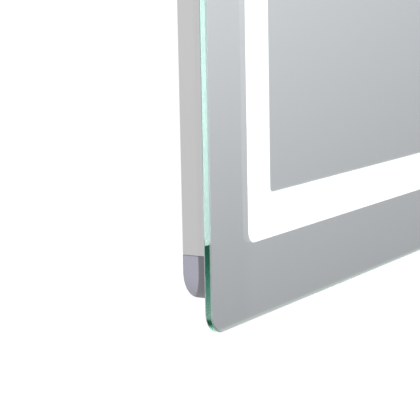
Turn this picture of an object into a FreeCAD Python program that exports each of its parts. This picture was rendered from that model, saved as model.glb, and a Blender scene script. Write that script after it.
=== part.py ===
"""Lighted bathroom mirror, hung on two wall hooks.

A rectangular mirror pane with a frosted light band stands in front of a slimmer housing.
The housing has satin side strips between moulded corner caps, a steel back panel, and four
aluminium channels that carry the light strips. The driver, the connection box, the
demister pad and the touch sensor lie inside.

Millimetres. X runs to the right along the wall, Y into the wall and Z up. The origin is on
the wall, in the middle of the four screw holes of the wall hooks. A depth is a distance
from the wall towards the room, so it points along -Y.
"""
import FreeCAD, Part
import math
import os
import re
import Sketcher

SIZES = (
    ("glass_width", 600, "pane, side to side"),
    ("glass_height", 800, "pane, top to bottom"),
    ("glass_thick", 5, "pane thickness"),
    ("glass_corner", 14, "corner radius of the pane"),
    ("glass_arris", 0.8, "polished edge bevel"),
    ("silver_thick", 0.3, "silver coat with its backing paint"),
    ("band_inset", 50, "pane edge to light band"),
    ("band_width", 30, "light band width"),
    ("band_outer_corner", 8, "outer corner radius of the band"),
    ("band_inner_corner", 3, "inner corner radius of the band"),
    ("wall_gap", 3, "wall to housing"),
    ("housing_inset", 15.5, "pane edge to housing side"),
    ("housing_depth", 25, "housing, back to front"),
    ("housing_corner", 20, "outer corner radius of the housing"),
    ("housing_edge", 1.6, "rounding of the housing's back edge"),
    ("cap_leg", 31, "corner cap, along each side"),
    ("cap_gap", 0.3, "corner cap to side strip"),
    ("side_wall", 2, "outer wall of side strip and cap"),
    ("flange_thick", 1.5, "flanges of side strip and cap"),
    ("back_flange", 14, "back flange width"),
    ("front_flange", 12, "front flange width"),
    ("tongue_thick", 1.5, "cap tongue inside the side strip"),
    ("tongue_length", 12, "cap tongue beyond the cap"),
    ("tongue_root", 9, "cap tongue inside the cap"),
    ("fit_gap", 0.2, "sliding clearance"),
    ("tape_thick", 0.7, "bonding tape thickness"),
    ("tape_width", 9, "bonding tape width"),
    ("panel_recess", 0.2, "back panel below the housing's back"),
    ("panel_thick", 0.8, "back panel sheet"),
    ("panel_gap", 0.3, "back panel to side wall"),
    ("channel_inset", 88, "pane edge to channel web"),
    ("channel_wall", 1.5, "channel thickness"),
    ("channel_flange", 12, "channel flange width"),
    ("channel_gap", 0.3, "between channel ends"),
    ("strip_width", 10, "light strip width"),
    ("strip_thick", 0.5, "light strip board"),
    ("strip_margin", 14, "channel corner to light strip"),
    ("diode_size", 5, "light diode, square"),
    ("diode_height", 1.6, "light diode height"),
    ("diode_pitch", 34, "light diode spacing"),
    ("connector_thick", 4, "connector on a light strip"),
    ("connector_length", 16, "connector on a light strip"),
    ("connector_depth", 7.5, "connector on a light strip"),
    ("jumper_radius", 0.7, "jumper wire radius"),
    ("jumper_spread", 1.5, "jumper wire to the middle of its pair"),
    ("jumper_reach", 3.5, "jumper wire along a light strip"),
    ("jumper_bow", 5, "jumper wire out from a channel corner"),
    ("screw_radius", 1.5, "panel screw shank radius"),
    ("screw_head", 3, "panel screw head radius"),
    ("screw_head_thick", 1.4, "panel screw head thickness"),
    ("screw_length", 6, "panel screw below its head"),
    ("screw_line", 9, "side wall to screw line"),
    ("channel_line", 9, "channel web to screw line"),
    ("cap_screw", 22, "housing corner to cap screw"),
    ("hook_margin", 30, "channel flange to hook centre"),
    ("hook_width", 28, "hook width"),
    ("hook_thick", 2, "hook sheet"),
    ("hook_low", 20, "hook plate below the origin"),
    ("hook_hole", 2.5, "hook screw hole radius"),
    ("hook_holes", 25, "between the two holes of a hook"),
    ("seat_height", 24, "hanging edge above the origin"),
    ("seat_gap", 0.2, "hanging edge to hook seat"),
    ("lip_height", 8, "hook lip above its seat"),
    ("lip_gap", 0.3, "hanging plate to hook lip"),
    ("hang_drop", 140, "pane top to hanging edge"),
    ("hang_opening", 34, "hanging opening width"),
    ("hang_tall", 14, "hanging opening height"),
    ("hang_plate_width", 54, "hanging plate width"),
    ("hang_plate_height", 36, "hanging plate height"),
    ("hang_plate_thick", 2, "hanging plate sheet"),
    ("hang_screw", 19, "hanging plate centre to screw"),
    ("hang_screw_low", 9, "hanging edge to lower screws"),
    ("hang_screw_high", 27, "hanging edge to upper screws"),
    ("bumper_radius", 9, "wall bumper radius"),
    ("bumper_across", 200, "centre line to bumper"),
    ("bumper_up", 60, "pane bottom to bumper"),
    ("vent_width", 4, "vent slot width"),
    ("vent_length", 36, "vent slot length"),
    ("vent_pitch", 12, "vent slot spacing"),
    ("vent_count", 5, "vent slots on each side"),
    ("vent_up", 150, "pane bottom to vent slots"),
    ("driver_margin", 55, "channel flange to driver case"),
    ("driver_z", -95, "driver centre"),
    ("driver_width", 150, "driver case length"),
    ("driver_height", 46, "driver case height"),
    ("driver_depth", 18, "driver case depth with its lid"),
    ("driver_wall", 1.5, "driver case wall"),
    ("driver_ear", 12, "driver mounting ear"),
    ("board_thick", 1.6, "circuit board"),
    ("board_standoff", 2.5, "below a circuit board"),
    ("transformer_length", 24, "driver transformer"),
    ("transformer_height", 20, "driver transformer"),
    ("transformer_depth", 9, "driver transformer"),
    ("capacitor_radius", 4, "driver capacitor"),
    ("capacitor_depth", 8.5, "driver capacitor"),
    ("capacitor_pitch", 14, "driver capacitor spacing"),
    ("box_margin", 64, "driver case to connection box"),
    ("box_z", -95, "connection box centre"),
    ("box_width", 62, "connection box width"),
    ("box_height", 92, "connection box height"),
    ("box_depth", 18, "connection box inside the panel"),
    ("box_wall", 1.5, "connection box wall"),
    ("box_rim", 6, "rim of the box behind the panel"),
    ("box_rim_thick", 1, "rim of the box behind the panel"),
    ("box_fixed", 26, "fixed part of the box back"),
    ("rivet_radius", 1, "rivet shank radius"),
    ("rivet_head", 1.8, "rivet head radius"),
    ("rivet_head_thick", 0.8, "rivet head thickness"),
    ("rivet_length", 3, "rivet below its head"),
    ("lid_thick", 1.8, "lid of the connection box"),
    ("lid_gap", 0.3, "clearance round the lid"),
    ("lid_pin", 0.6, "lid hinge pin radius"),
    ("lid_pin_gap", 0.15, "clearance round the hinge pin"),
    ("lid_notch", 8, "finger notch radius in the lid"),
    ("ledge_width", 3, "ledge that the lid rests on"),
    ("gland_bore", 4, "mains cable bore radius"),
    ("gland_body", 6, "grommet neck radius"),
    ("gland_flange", 8, "grommet flange radius"),
    ("gland_flange_thick", 1.2, "grommet flange"),
    ("terminal_width", 34, "terminal block"),
    ("terminal_height", 20, "terminal block"),
    ("terminal_depth", 10, "terminal block"),
    ("terminal_screw", 1.8, "terminal screw radius"),
    ("terminal_pitch", 10, "between terminals"),
    ("terminal_row", 6, "block centre to a row of screws"),
    ("lead_radius", 2.2, "jacketed lead radius"),
    ("lead_fit", 0.4, "clearance round a lead"),
    ("thin_lead_radius", 1.4, "low voltage lead radius"),
    ("lead_lift", 2, "lead above the back panel"),
    ("lead_end", 12, "lead inside a case"),
    ("demister_lead_run", 39, "connection box to demister lead down the panel"),
    ("demister_overlap", 79, "demister lead below the top of the pad"),
    ("lead_margin", 25, "channel flange to sensor lead down the panel"),
    ("mount_size", 12, "adhesive cable mount"),
    ("mount_pitch", 110, "between cable mounts"),
    ("mount_first", 110, "lowest cable mount above the sensor"),
    ("demister_margin", 25, "channel flange to demister pad"),
    ("demister_height", 250, "demister pad"),
    ("demister_thick", 0.4, "demister pad"),
    ("demister_corner", 8, "demister pad corner"),
    ("sensor_up", 118, "pane bottom to touch sensor"),
    ("sensor_width", 40, "touch sensor cover"),
    ("sensor_height", 28, "touch sensor cover"),
    ("sensor_depth", 7, "touch sensor cover"),
    ("sensor_wall", 1.2, "touch sensor cover wall"),
)

# Depths from the wall, and heights and half widths, as formulas of the sizes.
PANEL_BACK = "(wall_gap + panel_recess)"
PANEL_FRONT = "(wall_gap + panel_recess + panel_thick)"
HOUSING_FRONT = "(wall_gap + housing_depth)"
SILVER_BACK = "(wall_gap + housing_depth + tape_thick)"
GLASS_BACK = "(wall_gap + housing_depth + tape_thick + silver_thick)"
GLASS_TOP = "(seat_height + hang_drop)"
GLASS_LOW = "(seat_height + hang_drop - glass_height)"
GLASS_HALF = "(glass_width / 2)"
PANE_MIDDLE = f"(({GLASS_TOP} + {GLASS_LOW}) / 2)"
FIELD_HALF = f"({GLASS_HALF} - channel_inset - channel_flange)"
HOOK_ACROSS = f"({FIELD_HALF} - hook_margin)"

SIDES = ("left", "top", "right", "bottom")
CORNERS = ("bottom_left", "top_left", "top_right", "bottom_right")

doc = FreeCAD.newDocument("lighted_mirror")
sheet = doc.addObject("Spreadsheet::Sheet", "Sizes")
sub_parts = []


def fill_sheet():
    """Put every size in the sheet under its own name."""
    for row, (alias, value, meaning) in enumerate(SIZES, 1):
        sheet.set(f"A{row}", str(value))
        sheet.setAlias(f"A{row}", alias)
        sheet.set(f"B{row}", meaning)
    doc.recompute()


def bound(formula):
    """The formula as an expression that reads the sheet."""
    return re.sub(r"[a-z][a-z_]{2,}(?!\w*\()", lambda name: f"Sizes.{name.group(0)}", formula)


def number(formula):
    """The value of a formula with the present sizes."""
    return float(sheet.evalExpression(bound(formula)))


def sub_part(shape_object, name):
    """Register a finished object as the sub-part of that name."""
    shape_object.Label = name
    sub_parts.append(shape_object)
    return shape_object


def place(shape_object, x="0", z="0", turn=0, y="0"):
    """Stand an object at a point of the wall plane, turned about Y by whole degrees."""
    shape_object.Placement.Rotation = FreeCAD.Rotation(FreeCAD.Vector(0, 1, 0), turn)
    for axis, formula in (("x", x), ("y", y), ("z", z)):
        shape_object.setExpression(f"Placement.Base.{axis}", bound(formula))


# ---------------------------------------------------------------- sketches and features

def new_body(name, group=False):
    """A body, which may hold several separate solids when it is a group."""
    body = doc.addObject("PartDesign::Body", name)
    body.AllowCompound = group
    return body


def sketch_on(body, plane="XZ_Plane", level="0"):
    """A sketch on an origin plane. On XZ_Plane the level is a depth from the wall."""
    sketch = body.newObject("Sketcher::SketchObject", f"{body.Name}_sketch")
    datum = [item for item in body.Origin.OriginFeatures if item.Role == plane][0]
    sketch.AttachmentSupport = [(datum, "")]
    sketch.MapMode = "FlatFace"
    sketch.setExpression("AttachmentOffset.Base.z", bound(level))
    return sketch


def fix(sketch, kind, where, formula):
    """Tie one distance or radius of a sketch to a formula of the sizes."""
    index = sketch.addConstraint(Sketcher.Constraint(kind, *where, number(formula)))
    sketch.setExpression(f"Constraints[{index}]", bound(formula))


def outline(sketch, points):
    """A closed outline of straight edges through (across, along) formulas."""
    corners = [FreeCAD.Vector(number(across), number(along), 0) for across, along in points]
    ends = corners[1:] + corners[:1]
    edges = [sketch.addGeometry(Part.LineSegment(*pair), False) for pair in zip(corners, ends)]
    for edge, follower in zip(edges, edges[1:] + edges[:1]):
        sketch.addConstraint(Sketcher.Constraint("Coincident", edge, 2, follower, 1))
    for edge, (across, along) in zip(edges, points):
        fix(sketch, "DistanceX", (edge, 1), across)
        fix(sketch, "DistanceY", (edge, 1), along)


def rectangle(sketch, left, low, right, high):
    """A rectangle between four lines."""
    outline(sketch, ((left, low), (right, low), (right, high), (left, high)))


def centred(sketch, x, z, width, height):
    """A rectangle about a centre."""
    rectangle(sketch, f"{x} - {width} / 2", f"{z} - {height} / 2",
              f"{x} + {width} / 2", f"{z} + {height} / 2")


def circle(sketch, x, z, radius):
    """A circle with its centre and radius tied to formulas."""
    centre = FreeCAD.Vector(number(x), number(z), 0)
    ring = sketch.addGeometry(Part.Circle(centre, FreeCAD.Vector(0, 0, 1), number(radius)), False)
    fix(sketch, "DistanceX", (ring, 3), x)
    fix(sketch, "DistanceY", (ring, 3), z)
    fix(sketch, "Radius", (ring,), radius)


def settle(body, feature):
    """Recompute the body and stop where its new feature failed."""
    doc.recompute()
    if "Invalid" in feature.State or feature.Shape.isNull():
        raise RuntimeError(f"{body.Name}: {feature.Name} failed")


def pad(body, sketch, length):
    """Add material from the sketch along its plane's normal."""
    feature = body.newObject("PartDesign::Pad", f"{body.Name}_pad")
    feature.Profile = sketch
    feature.setExpression("Length", bound(length))
    settle(body, feature)
    return feature


def pocket(body, sketch, length):
    """Remove material from the sketch along its plane's normal."""
    before = body.Shape.Volume
    feature = body.newObject("PartDesign::Pocket", f"{body.Name}_pocket")
    feature.Profile = sketch
    feature.Reversed = True
    feature.setExpression("Length", bound(length))
    settle(body, feature)
    if body.Shape.Volume >= before:
        raise RuntimeError(f"{body.Name}: a pocket removed nothing")


def edge_names(shape, test):
    """Names of the edges whose curve and middle point pass the test."""
    names = []
    for index, edge in enumerate(shape.Edges, 1):
        middle = edge.valueAt((edge.FirstParameter + edge.LastParameter) / 2)
        if test(edge, middle):
            names.append(f"Edge{index}")
    return names


def dress(body, kind, size, test):
    """Fillet or chamfer the edges that pass the test."""
    names = edge_names(body.Shape, test)
    if not names:
        raise RuntimeError(f"{body.Name}: no edge for a {kind}")
    last = body.Tip
    feature = body.newObject(f"PartDesign::{kind}", f"{body.Name}_{kind.lower()}")
    feature.Base = (last, names)
    feature.setExpression("Radius" if kind == "Fillet" else "Size", bound(size))
    settle(body, feature)


def runs_along(edge, axis):
    """True for a straight edge along an axis, 0 for X, 1 for Y and 2 for Z."""
    if not isinstance(edge.Curve, Part.Line):
        return False
    return abs(edge.Curve.Direction[axis]) > 0.999


def near(value, formula):
    """True where a coordinate has the value of a formula."""
    return abs(value - number(formula)) < 0.01


def round_corners(body, radius):
    """Round every corner of a plate that is parallel to the wall."""
    dress(body, "Fillet", radius, lambda edge, middle: runs_along(edge, 1))


def plate(name, rectangles, level, thick, radius=None):
    """A plate parallel to the wall, or a group of them, given as edges of rectangles."""
    body = new_body(name, len(rectangles) > 1)
    sketch = sketch_on(body, "XZ_Plane", level)
    for sides in rectangles:
        rectangle(sketch, *sides)
    pad(body, sketch, thick)
    if radius:
        round_corners(body, radius)
    return body


def drill(body, points, radius, level, length):
    """Drill like holes from a depth towards the room."""
    sketch = sketch_on(body, "XZ_Plane", level)
    for x, z in points:
        circle(sketch, x, z, radius)
    pocket(body, sketch, length)


def discs(body, points, radius, level, length):
    """Add like discs from a depth towards the room."""
    sketch = sketch_on(body, "XZ_Plane", level)
    for x, z in points:
        circle(sketch, x, z, radius)
    pad(body, sketch, length)


LEAD_DEPTH = f"({PANEL_FRONT} + lead_lift + lead_radius)"
LEAD_HOLE_UP = "(glass_height - 2 * channel_inset - strip_margin / 2)"
STRIP_MIDDLE = f"(({PANEL_FRONT} + {HOUSING_FRONT}) / 2)"


# ---------------------------------------------------------------- the four sides

def side_point(side, inset, inward, along):
    """World x and z of a point of a side, counted from the outline at an inset."""
    left, right = f"-({GLASS_HALF} - {inset})", f"({GLASS_HALF} - {inset})"
    low, top = f"({GLASS_LOW} + {inset})", f"({GLASS_TOP} - {inset})"
    return {
        "left": (f"{left} + ({inward})", f"{low} + ({along})"),
        "top": (f"{left} + ({along})", f"{top} - ({inward})"),
        "right": (f"{right} - ({inward})", f"{top} - ({along})"),
        "bottom": (f"{right} - ({along})", f"{low} + ({inward})"),
    }[side]


def side_length(side, inset):
    """Length of a side of the outline at an inset."""
    whole = "glass_height" if side in ("left", "right") else "glass_width"
    return f"({whole} - 2 * {inset})"


def place_side(shape_object, side, inset):
    """Turn a piece drawn for the left side to its own side."""
    x, z = side_point(side, inset, "0", "0")
    place(shape_object, x, z, 90 * SIDES.index(side))


def side_screws(side):
    """Distances along a side of the housing where screws hold the back panel."""
    length = side_length(side, "housing_inset")
    return [f"{length} * {share} / 6" for share in (1, 3, 5)]


def channel_screws(side):
    """Distances along a channel where screws hold the back panel."""
    length = side_length(side, "channel_inset")
    return [f"{length} * {share} / 6" for share in (1, 3, 5)]


# ---------------------------------------------------------------- pane

def mirror_glass():
    """Float glass pane with rounded corners and polished, bevelled edges."""
    body = plate("mirror_glass", [(f"-{GLASS_HALF}", GLASS_LOW, GLASS_HALF, GLASS_TOP)],
                 GLASS_BACK, "glass_thick", "glass_corner")
    dress(body, "Chamfer", "glass_arris", lambda edge, middle: not runs_along(edge, 1))
    sub_part(body, "mirror_glass")


def ring_sides(inset):
    """Edges of the rectangle at an inset from the pane's edge."""
    return (f"-({GLASS_HALF} - {inset})", f"{GLASS_LOW} + {inset}",
            f"{GLASS_HALF} - {inset}", f"{GLASS_TOP} - {inset}")


def silver_backing():
    """Silver coat with its paint: a margin outside the light band and a field inside it."""
    body = plate("silver_backing", [ring_sides("glass_arris")], SILVER_BACK, "silver_thick",
                 "glass_corner - glass_arris")
    body.AllowCompound = True
    sketch = sketch_on(body, "XZ_Plane", SILVER_BACK)
    rectangle(sketch, *ring_sides("band_inset"))
    pocket(body, sketch, "silver_thick")
    dress(body, "Fillet", "band_outer_corner",
          lambda edge, middle: runs_along(edge, 1) and is_inside(middle, "band_inset"))
    sketch = sketch_on(body, "XZ_Plane", SILVER_BACK)
    rectangle(sketch, *ring_sides("(band_inset + band_width)"))
    pad(body, sketch, "silver_thick")
    dress(body, "Fillet", "band_inner_corner",
          lambda edge, middle: runs_along(edge, 1) and is_inside(middle, "band_inset + band_width"))
    sub_part(body, "silver_backing")


def is_inside(point, inset):
    """True for a point on or inside the rectangle at an inset."""
    return abs(point.x) < number(f"{GLASS_HALF} - ({inset})") + 0.01


def light_band():
    """Diffusing film that fills the frosted band in the silver."""
    body = plate("light_band", [ring_sides("band_inset")], SILVER_BACK, "silver_thick",
                 "band_outer_corner")
    sketch = sketch_on(body, "XZ_Plane", SILVER_BACK)
    rectangle(sketch, *ring_sides("(band_inset + band_width)"))
    pocket(body, sketch, "silver_thick")
    dress(body, "Fillet", "band_inner_corner",
          lambda edge, middle: runs_along(edge, 1) and is_inside(middle, "band_inset + band_width"))
    sub_part(body, "light_band")


# ---------------------------------------------------------------- housing

def side_strip(side):
    """Satin side strip: a channel whose outer wall shows behind the pane."""
    body = new_body(f"side_strip_{side}")
    sketch = sketch_on(body, "XY_Plane", "cap_leg + cap_gap")
    inner = "side_wall"
    steps = (
        ("0", "wall_gap"), (inner, "wall_gap"), (inner, PANEL_FRONT),
        ("back_flange", PANEL_FRONT), ("back_flange", f"({PANEL_FRONT} + flange_thick)"),
        (inner, f"({PANEL_FRONT} + flange_thick)"), (inner, f"({HOUSING_FRONT} - flange_thick)"),
        ("front_flange", f"({HOUSING_FRONT} - flange_thick)"), ("front_flange", HOUSING_FRONT),
        ("0", HOUSING_FRONT),
    )
    outline(sketch, [(inward, f"-{depth}") for inward, depth in steps])
    pad(body, sketch, f"{side_length(side, 'housing_inset')} - 2 * (cap_leg + cap_gap)")
    dress(body, "Fillet", "housing_edge", lambda edge, middle:
          runs_along(edge, 2) and near(middle.x, "0") and near(middle.y, "-wall_gap"))
    drill(body, [("screw_line", along) for along in side_screws(side)],
          "screw_radius + fit_gap / 2", PANEL_FRONT, "flange_thick")
    place_side(body, side, "housing_inset")
    sub_part(body, f"side_strip_{side}")


def cap_tongue(body, swap):
    """Tongue of a corner cap that slides into the end of a side strip."""
    root, end, tip = "cap_leg - tongue_root", "cap_leg", "cap_leg + tongue_length"
    loose, inner = "side_wall + fit_gap", "side_wall + fit_gap + tongue_thick"
    points = (("side_wall", root), ("side_wall", end), (loose, end),
              (loose, tip), (inner, tip), (inner, root))
    if swap:
        points = [(along, inward) for inward, along in reversed(points)]
    sketch = sketch_on(body, "XZ_Plane", f"{PANEL_FRONT} + 2 * flange_thick")
    outline(sketch, points)
    pad(body, sketch, "housing_depth - 6 * flange_thick")


def corner_cap(index):
    """Moulded corner cap: a rounded corner with flanges and two tongues."""
    name = f"corner_cap_{CORNERS[index]}"
    body = new_body(name)
    sketch = sketch_on(body, "XZ_Plane", "wall_gap")
    outline(sketch, (("0", "0"), ("cap_leg", "0"), ("cap_leg", "back_flange"),
                     ("back_flange", "back_flange"), ("back_flange", "cap_leg"), ("0", "cap_leg")))
    pad(body, sketch, "housing_depth")
    clear_cap(body, f"({PANEL_FRONT} + flange_thick)",
              f"{HOUSING_FRONT} - {PANEL_FRONT} - 2 * flange_thick")
    clear_cap(body, "wall_gap", f"{PANEL_FRONT} - wall_gap")
    dress(body, "Fillet", "housing_corner - side_wall", lambda edge, middle:
          runs_along(edge, 1) and near(middle.x, "side_wall") and near(middle.z, "side_wall"))
    dress(body, "Fillet", "housing_corner", lambda edge, middle:
          runs_along(edge, 1) and near(middle.x, "0") and near(middle.z, "0"))
    dress(body, "Fillet", "housing_edge", lambda edge, middle:
          near(middle.y, "-wall_gap") and is_outer_edge(middle))
    cap_tongue(body, False)
    cap_tongue(body, True)
    drill(body, [("screw_line", "cap_screw"), ("cap_screw", "screw_line")],
          "screw_radius + fit_gap / 2", PANEL_FRONT, "flange_thick")
    place_side(body, SIDES[index], "housing_inset")
    sub_part(body, name)


def clear_cap(body, level, length):
    """Hollow a corner cap between its outer walls over a range of depth."""
    sketch = sketch_on(body, "XZ_Plane", level)
    outline(sketch, (("side_wall", "side_wall"), ("cap_leg", "side_wall"),
                     ("cap_leg", "back_flange"), ("back_flange", "back_flange"),
                     ("back_flange", "cap_leg"), ("side_wall", "cap_leg")))
    pocket(body, sketch, length)


def is_outer_edge(middle):
    """True on the outer outline of a corner cap: its two legs or its rounded corner."""
    radius = number("housing_corner")
    reach = math.hypot(middle.x - radius, middle.z - radius)
    on_leg = abs(middle.x) < 0.01 or abs(middle.z) < 0.01
    on_corner = middle.x < radius and middle.z < radius and abs(reach - radius) < 0.01
    return on_leg or on_corner


def panel_screw_points():
    """World points of the screws of the back panel, in side strips, caps and channels."""
    points = []
    for side in SIDES:
        points += [side_point(side, "housing_inset", "screw_line", at) for at in side_screws(side)]
        points.append(side_point(side, "housing_inset", "screw_line", "cap_screw"))
        points.append(side_point(side, "housing_inset", "cap_screw", "screw_line"))
        points += [side_point(side, "channel_inset", "channel_line", at)
                   for at in channel_screws(side)]
    return points


def hang_screw_points():
    """World points of the screws of the hanging plates."""
    return [(f"{hook} * {HOOK_ACROSS} + {side} * hang_screw", f"seat_height + {up}")
            for hook in (-1, 1) for side in (-1, 1) for up in ("hang_screw_low", "hang_screw_high")]


def driver_screw_points():
    """World points of the two screws of the driver's ears."""
    return [(f"{DRIVER_X} + {end} * (driver_width / 2 + driver_ear / 2)", "driver_z")
            for end in (-1, 1)]


def back_panel():
    """Sheet steel back with hanging openings, a box cut-out, vents and screw holes."""
    inset = "(housing_inset + side_wall + panel_gap)"
    body = plate("back_panel", [ring_sides(inset)], PANEL_BACK, "panel_thick",
                 "housing_corner - side_wall - panel_gap")
    sketch = sketch_on(body, "XZ_Plane", PANEL_BACK)
    for side in (-1, 1):
        centre = f"{side} * {HOOK_ACROSS}"
        rectangle(sketch, f"{centre} - hang_opening / 2", "seat_height - hang_tall",
                  f"{centre} + hang_opening / 2", "seat_height")
    centred(sketch, BOX_X, "box_z", "(box_width + 2 * fit_gap)", "(box_height + 2 * fit_gap)")
    for group in (-1, 1):
        for slot in range(int(number("vent_count"))):
            centred(sketch, f"{group} * {HOOK_ACROSS} + ({slot} - (vent_count - 1) / 2) * vent_pitch",
                    f"({GLASS_LOW} + vent_up)", "vent_width", "vent_length")
    pocket(body, sketch, "panel_thick")
    points = panel_screw_points() + hang_screw_points() + driver_screw_points()
    drill(body, points, "screw_radius + fit_gap", PANEL_BACK, "panel_thick")
    drill(body, rivet_points(), "rivet_radius + fit_gap / 2", PANEL_BACK, "panel_thick")
    sub_part(body, "back_panel")


def screws(name, points):
    """Pan head screws whose heads lie against the back of the panel."""
    body = new_body(name, True)
    discs(body, points, "screw_radius", PANEL_BACK, "screw_length")
    discs(body, points, "screw_head", f"{PANEL_BACK} - screw_head_thick", "screw_head_thick")
    dress(body, "Fillet", "screw_head_thick / 2", lambda edge, middle:
          near(middle.y, f"-({PANEL_BACK} - screw_head_thick)"))
    sub_part(body, name)


def channel(side):
    """Aluminium channel that bonds the pane to the back panel and carries a light strip."""
    body = new_body(f"light_channel_{side}")
    upright = side in ("left", "right")
    start = "0" if upright else "(channel_flange + channel_gap)"
    sketch = sketch_on(body, "XY_Plane", start)
    wall = "channel_wall"
    steps = (
        ("0", PANEL_FRONT), ("channel_flange", PANEL_FRONT),
        ("channel_flange", f"({PANEL_FRONT} + {wall})"), (wall, f"({PANEL_FRONT} + {wall})"),
        (wall, f"({HOUSING_FRONT} - {wall})"), ("channel_flange", f"({HOUSING_FRONT} - {wall})"),
        ("channel_flange", HOUSING_FRONT), ("0", HOUSING_FRONT),
    )
    outline(sketch, [(inward, f"-{depth}") for inward, depth in steps])
    pad(body, sketch, f"{side_length(side, 'channel_inset')} - 2 * {start}")
    drill(body, [("channel_line", along) for along in channel_screws(side)],
          "screw_radius + fit_gap / 2", PANEL_FRONT, wall)
    if side == "left":
        sketch = sketch_on(body, "YZ_Plane", "0")
        circle(sketch, f"-{LEAD_DEPTH}", LEAD_HOLE_UP, "thin_lead_radius + lead_fit")
        pocket(body, sketch, wall)
    place_side(body, side, "channel_inset")
    sub_part(body, f"light_channel_{side}")


def strip_start(side):
    """Distance from the channel corner to the end of its light strip."""
    return "strip_margin" if side in ("left", "right") else "(channel_flange + strip_margin)"


def light_strip(side):
    """Flexible board of light diodes on the outer face of a channel."""
    body = new_body(f"light_strip_{side}")
    start = strip_start(side)
    sketch = sketch_on(body, "XZ_Plane", f"{STRIP_MIDDLE} - strip_width / 2")
    rectangle(sketch, "-strip_thick", start, "0", f"{side_length(side, 'channel_inset')} - {start}")
    pad(body, sketch, "strip_width")
    place_side(body, side, "channel_inset")
    sub_part(body, f"light_strip_{side}")


def light_diodes(side):
    """Row of light diodes that face the side strip."""
    body = new_body(f"light_diodes_{side}", True)
    start = strip_start(side)
    run = f"({side_length(side, 'channel_inset')} - 2 * {start})"
    sketch = sketch_on(body, "XZ_Plane", f"{STRIP_MIDDLE} - diode_size / 2")
    rectangle(sketch, "-strip_thick - diode_height", f"{start} + diode_size",
              "-strip_thick", f"{start} + 2 * diode_size")
    first = pad(body, sketch, "diode_size")
    row = body.newObject("PartDesign::LinearPattern", f"{body.Name}_row")
    row.Originals = [first]
    row.Direction = (sketch, ["V_Axis"])
    row.setExpression("Length", bound(f"{run} - 3 * diode_size"))
    row.setExpression("Occurrences", bound(f"floor({run} / diode_pitch)"))
    body.Tip = row
    doc.recompute()
    place_side(body, side, "channel_inset")
    sub_part(body, f"light_diodes_{side}")


def bonding_tape(name, inset, inward, margin):
    """Four strips of foam tape between the flanges of a frame and the pane."""
    strips = []
    for side in SIDES:
        length = side_length(side, inset)
        near_end = side_point(side, inset, inward, margin)
        far_end = side_point(side, inset, f"({inward} + tape_width)", f"({length} - {margin})")
        strips.append(sorted_box(near_end, far_end))
    body = plate(name, strips, HOUSING_FRONT, "tape_thick")
    sub_part(body, name)


def sorted_box(first, second):
    """Left, low, right and high formulas of the box between two points."""
    left, right = sorted((first[0], second[0]), key=number)
    low, high = sorted((first[1], second[1]), key=number)
    return left, low, right, high


# ---------------------------------------------------------------- hanging

def wall_hooks():
    """Two sheet steel hooks that are screwed to the wall. Each has an upturned lip."""
    body = new_body("wall_hooks", True)
    seat = "(seat_height - seat_gap)"
    lip_back = f"({PANEL_FRONT} + hang_plate_thick + lip_gap)"
    lip_front = f"({lip_back} + hook_thick)"
    steps = (
        ("0", "-hook_low"), ("hook_thick", "-hook_low"), ("hook_thick", f"{seat} - hook_thick"),
        (lip_front, f"{seat} - hook_thick"), (lip_front, f"{seat} + lip_height"),
        (lip_back, f"{seat} + lip_height"), (lip_back, seat), ("0", seat),
    )
    for side in (-1, 1):
        sketch = sketch_on(body, "YZ_Plane", f"{side} * {HOOK_ACROSS} - hook_width / 2")
        outline(sketch, [(f"-{depth}", height) for depth, height in steps])
        pad(body, sketch, "hook_width")
    dress(body, "Fillet", "hook_thick * 0.9", lambda edge, middle:
          runs_along(edge, 0) and near(middle.z, f"{seat} - hook_thick")
          and near(middle.y, f"-{lip_front}"))
    dress(body, "Fillet", "hook_thick * 0.4", lambda edge, middle:
          runs_along(edge, 0) and near(middle.z, f"{seat} + lip_height"))
    dress(body, "Fillet", "hook_thick * 1.5", lambda edge, middle:
          runs_along(edge, 1) and near(middle.z, "-hook_low"))
    drill(body, hook_hole_points(), "hook_hole", "0", "hook_thick")
    sub_part(body, "wall_hooks")


def hook_hole_points():
    """Wall screw holes, about the origin."""
    return [(f"{across} * {HOOK_ACROSS}", f"{up} * hook_holes / 2")
            for across in (-1, 1) for up in (-1, 1)]


def hanging_plates():
    """Two steel plates inside the back panel whose lower edges rest in the hooks."""
    rectangles = []
    for side in (-1, 1):
        centre = f"{side} * {HOOK_ACROSS}"
        rectangles.append((f"{centre} - hang_plate_width / 2", "seat_height",
                           f"{centre} + hang_plate_width / 2", "seat_height + hang_plate_height"))
    body = plate("hanging_plates", rectangles, PANEL_FRONT, "hang_plate_thick")
    drill(body, hang_screw_points(), "screw_radius + fit_gap / 2", PANEL_FRONT, "hang_plate_thick")
    sub_part(body, "hanging_plates")


def wall_bumpers():
    """Two rubber pads that keep the lower edge off the wall."""
    body = new_body("wall_bumpers", True)
    points = [(f"{side} * bumper_across", f"{GLASS_LOW} + bumper_up") for side in (-1, 1)]
    discs(body, points, "bumper_radius", "0", PANEL_BACK)
    dress(body, "Fillet", "wall_gap / 3", lambda edge, middle: near(middle.y, "0"))
    sub_part(body, "wall_bumpers")


# ---------------------------------------------------------------- driver

DRIVER_TOP = f"({PANEL_FRONT} + driver_depth)"
DRIVER_LEFT = f"(driver_margin - {FIELD_HALF})"
DRIVER_RIGHT = f"({DRIVER_LEFT} + driver_width)"
DRIVER_X = f"({DRIVER_LEFT} + driver_width / 2)"
LIGHT_LEAD_Z = "(driver_z + driver_height / 4)"
SENSOR_LEAD_Z = "(driver_z - driver_height / 4)"
MAINS_LEAD_Z = "(driver_z - driver_height / 4)"


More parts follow.
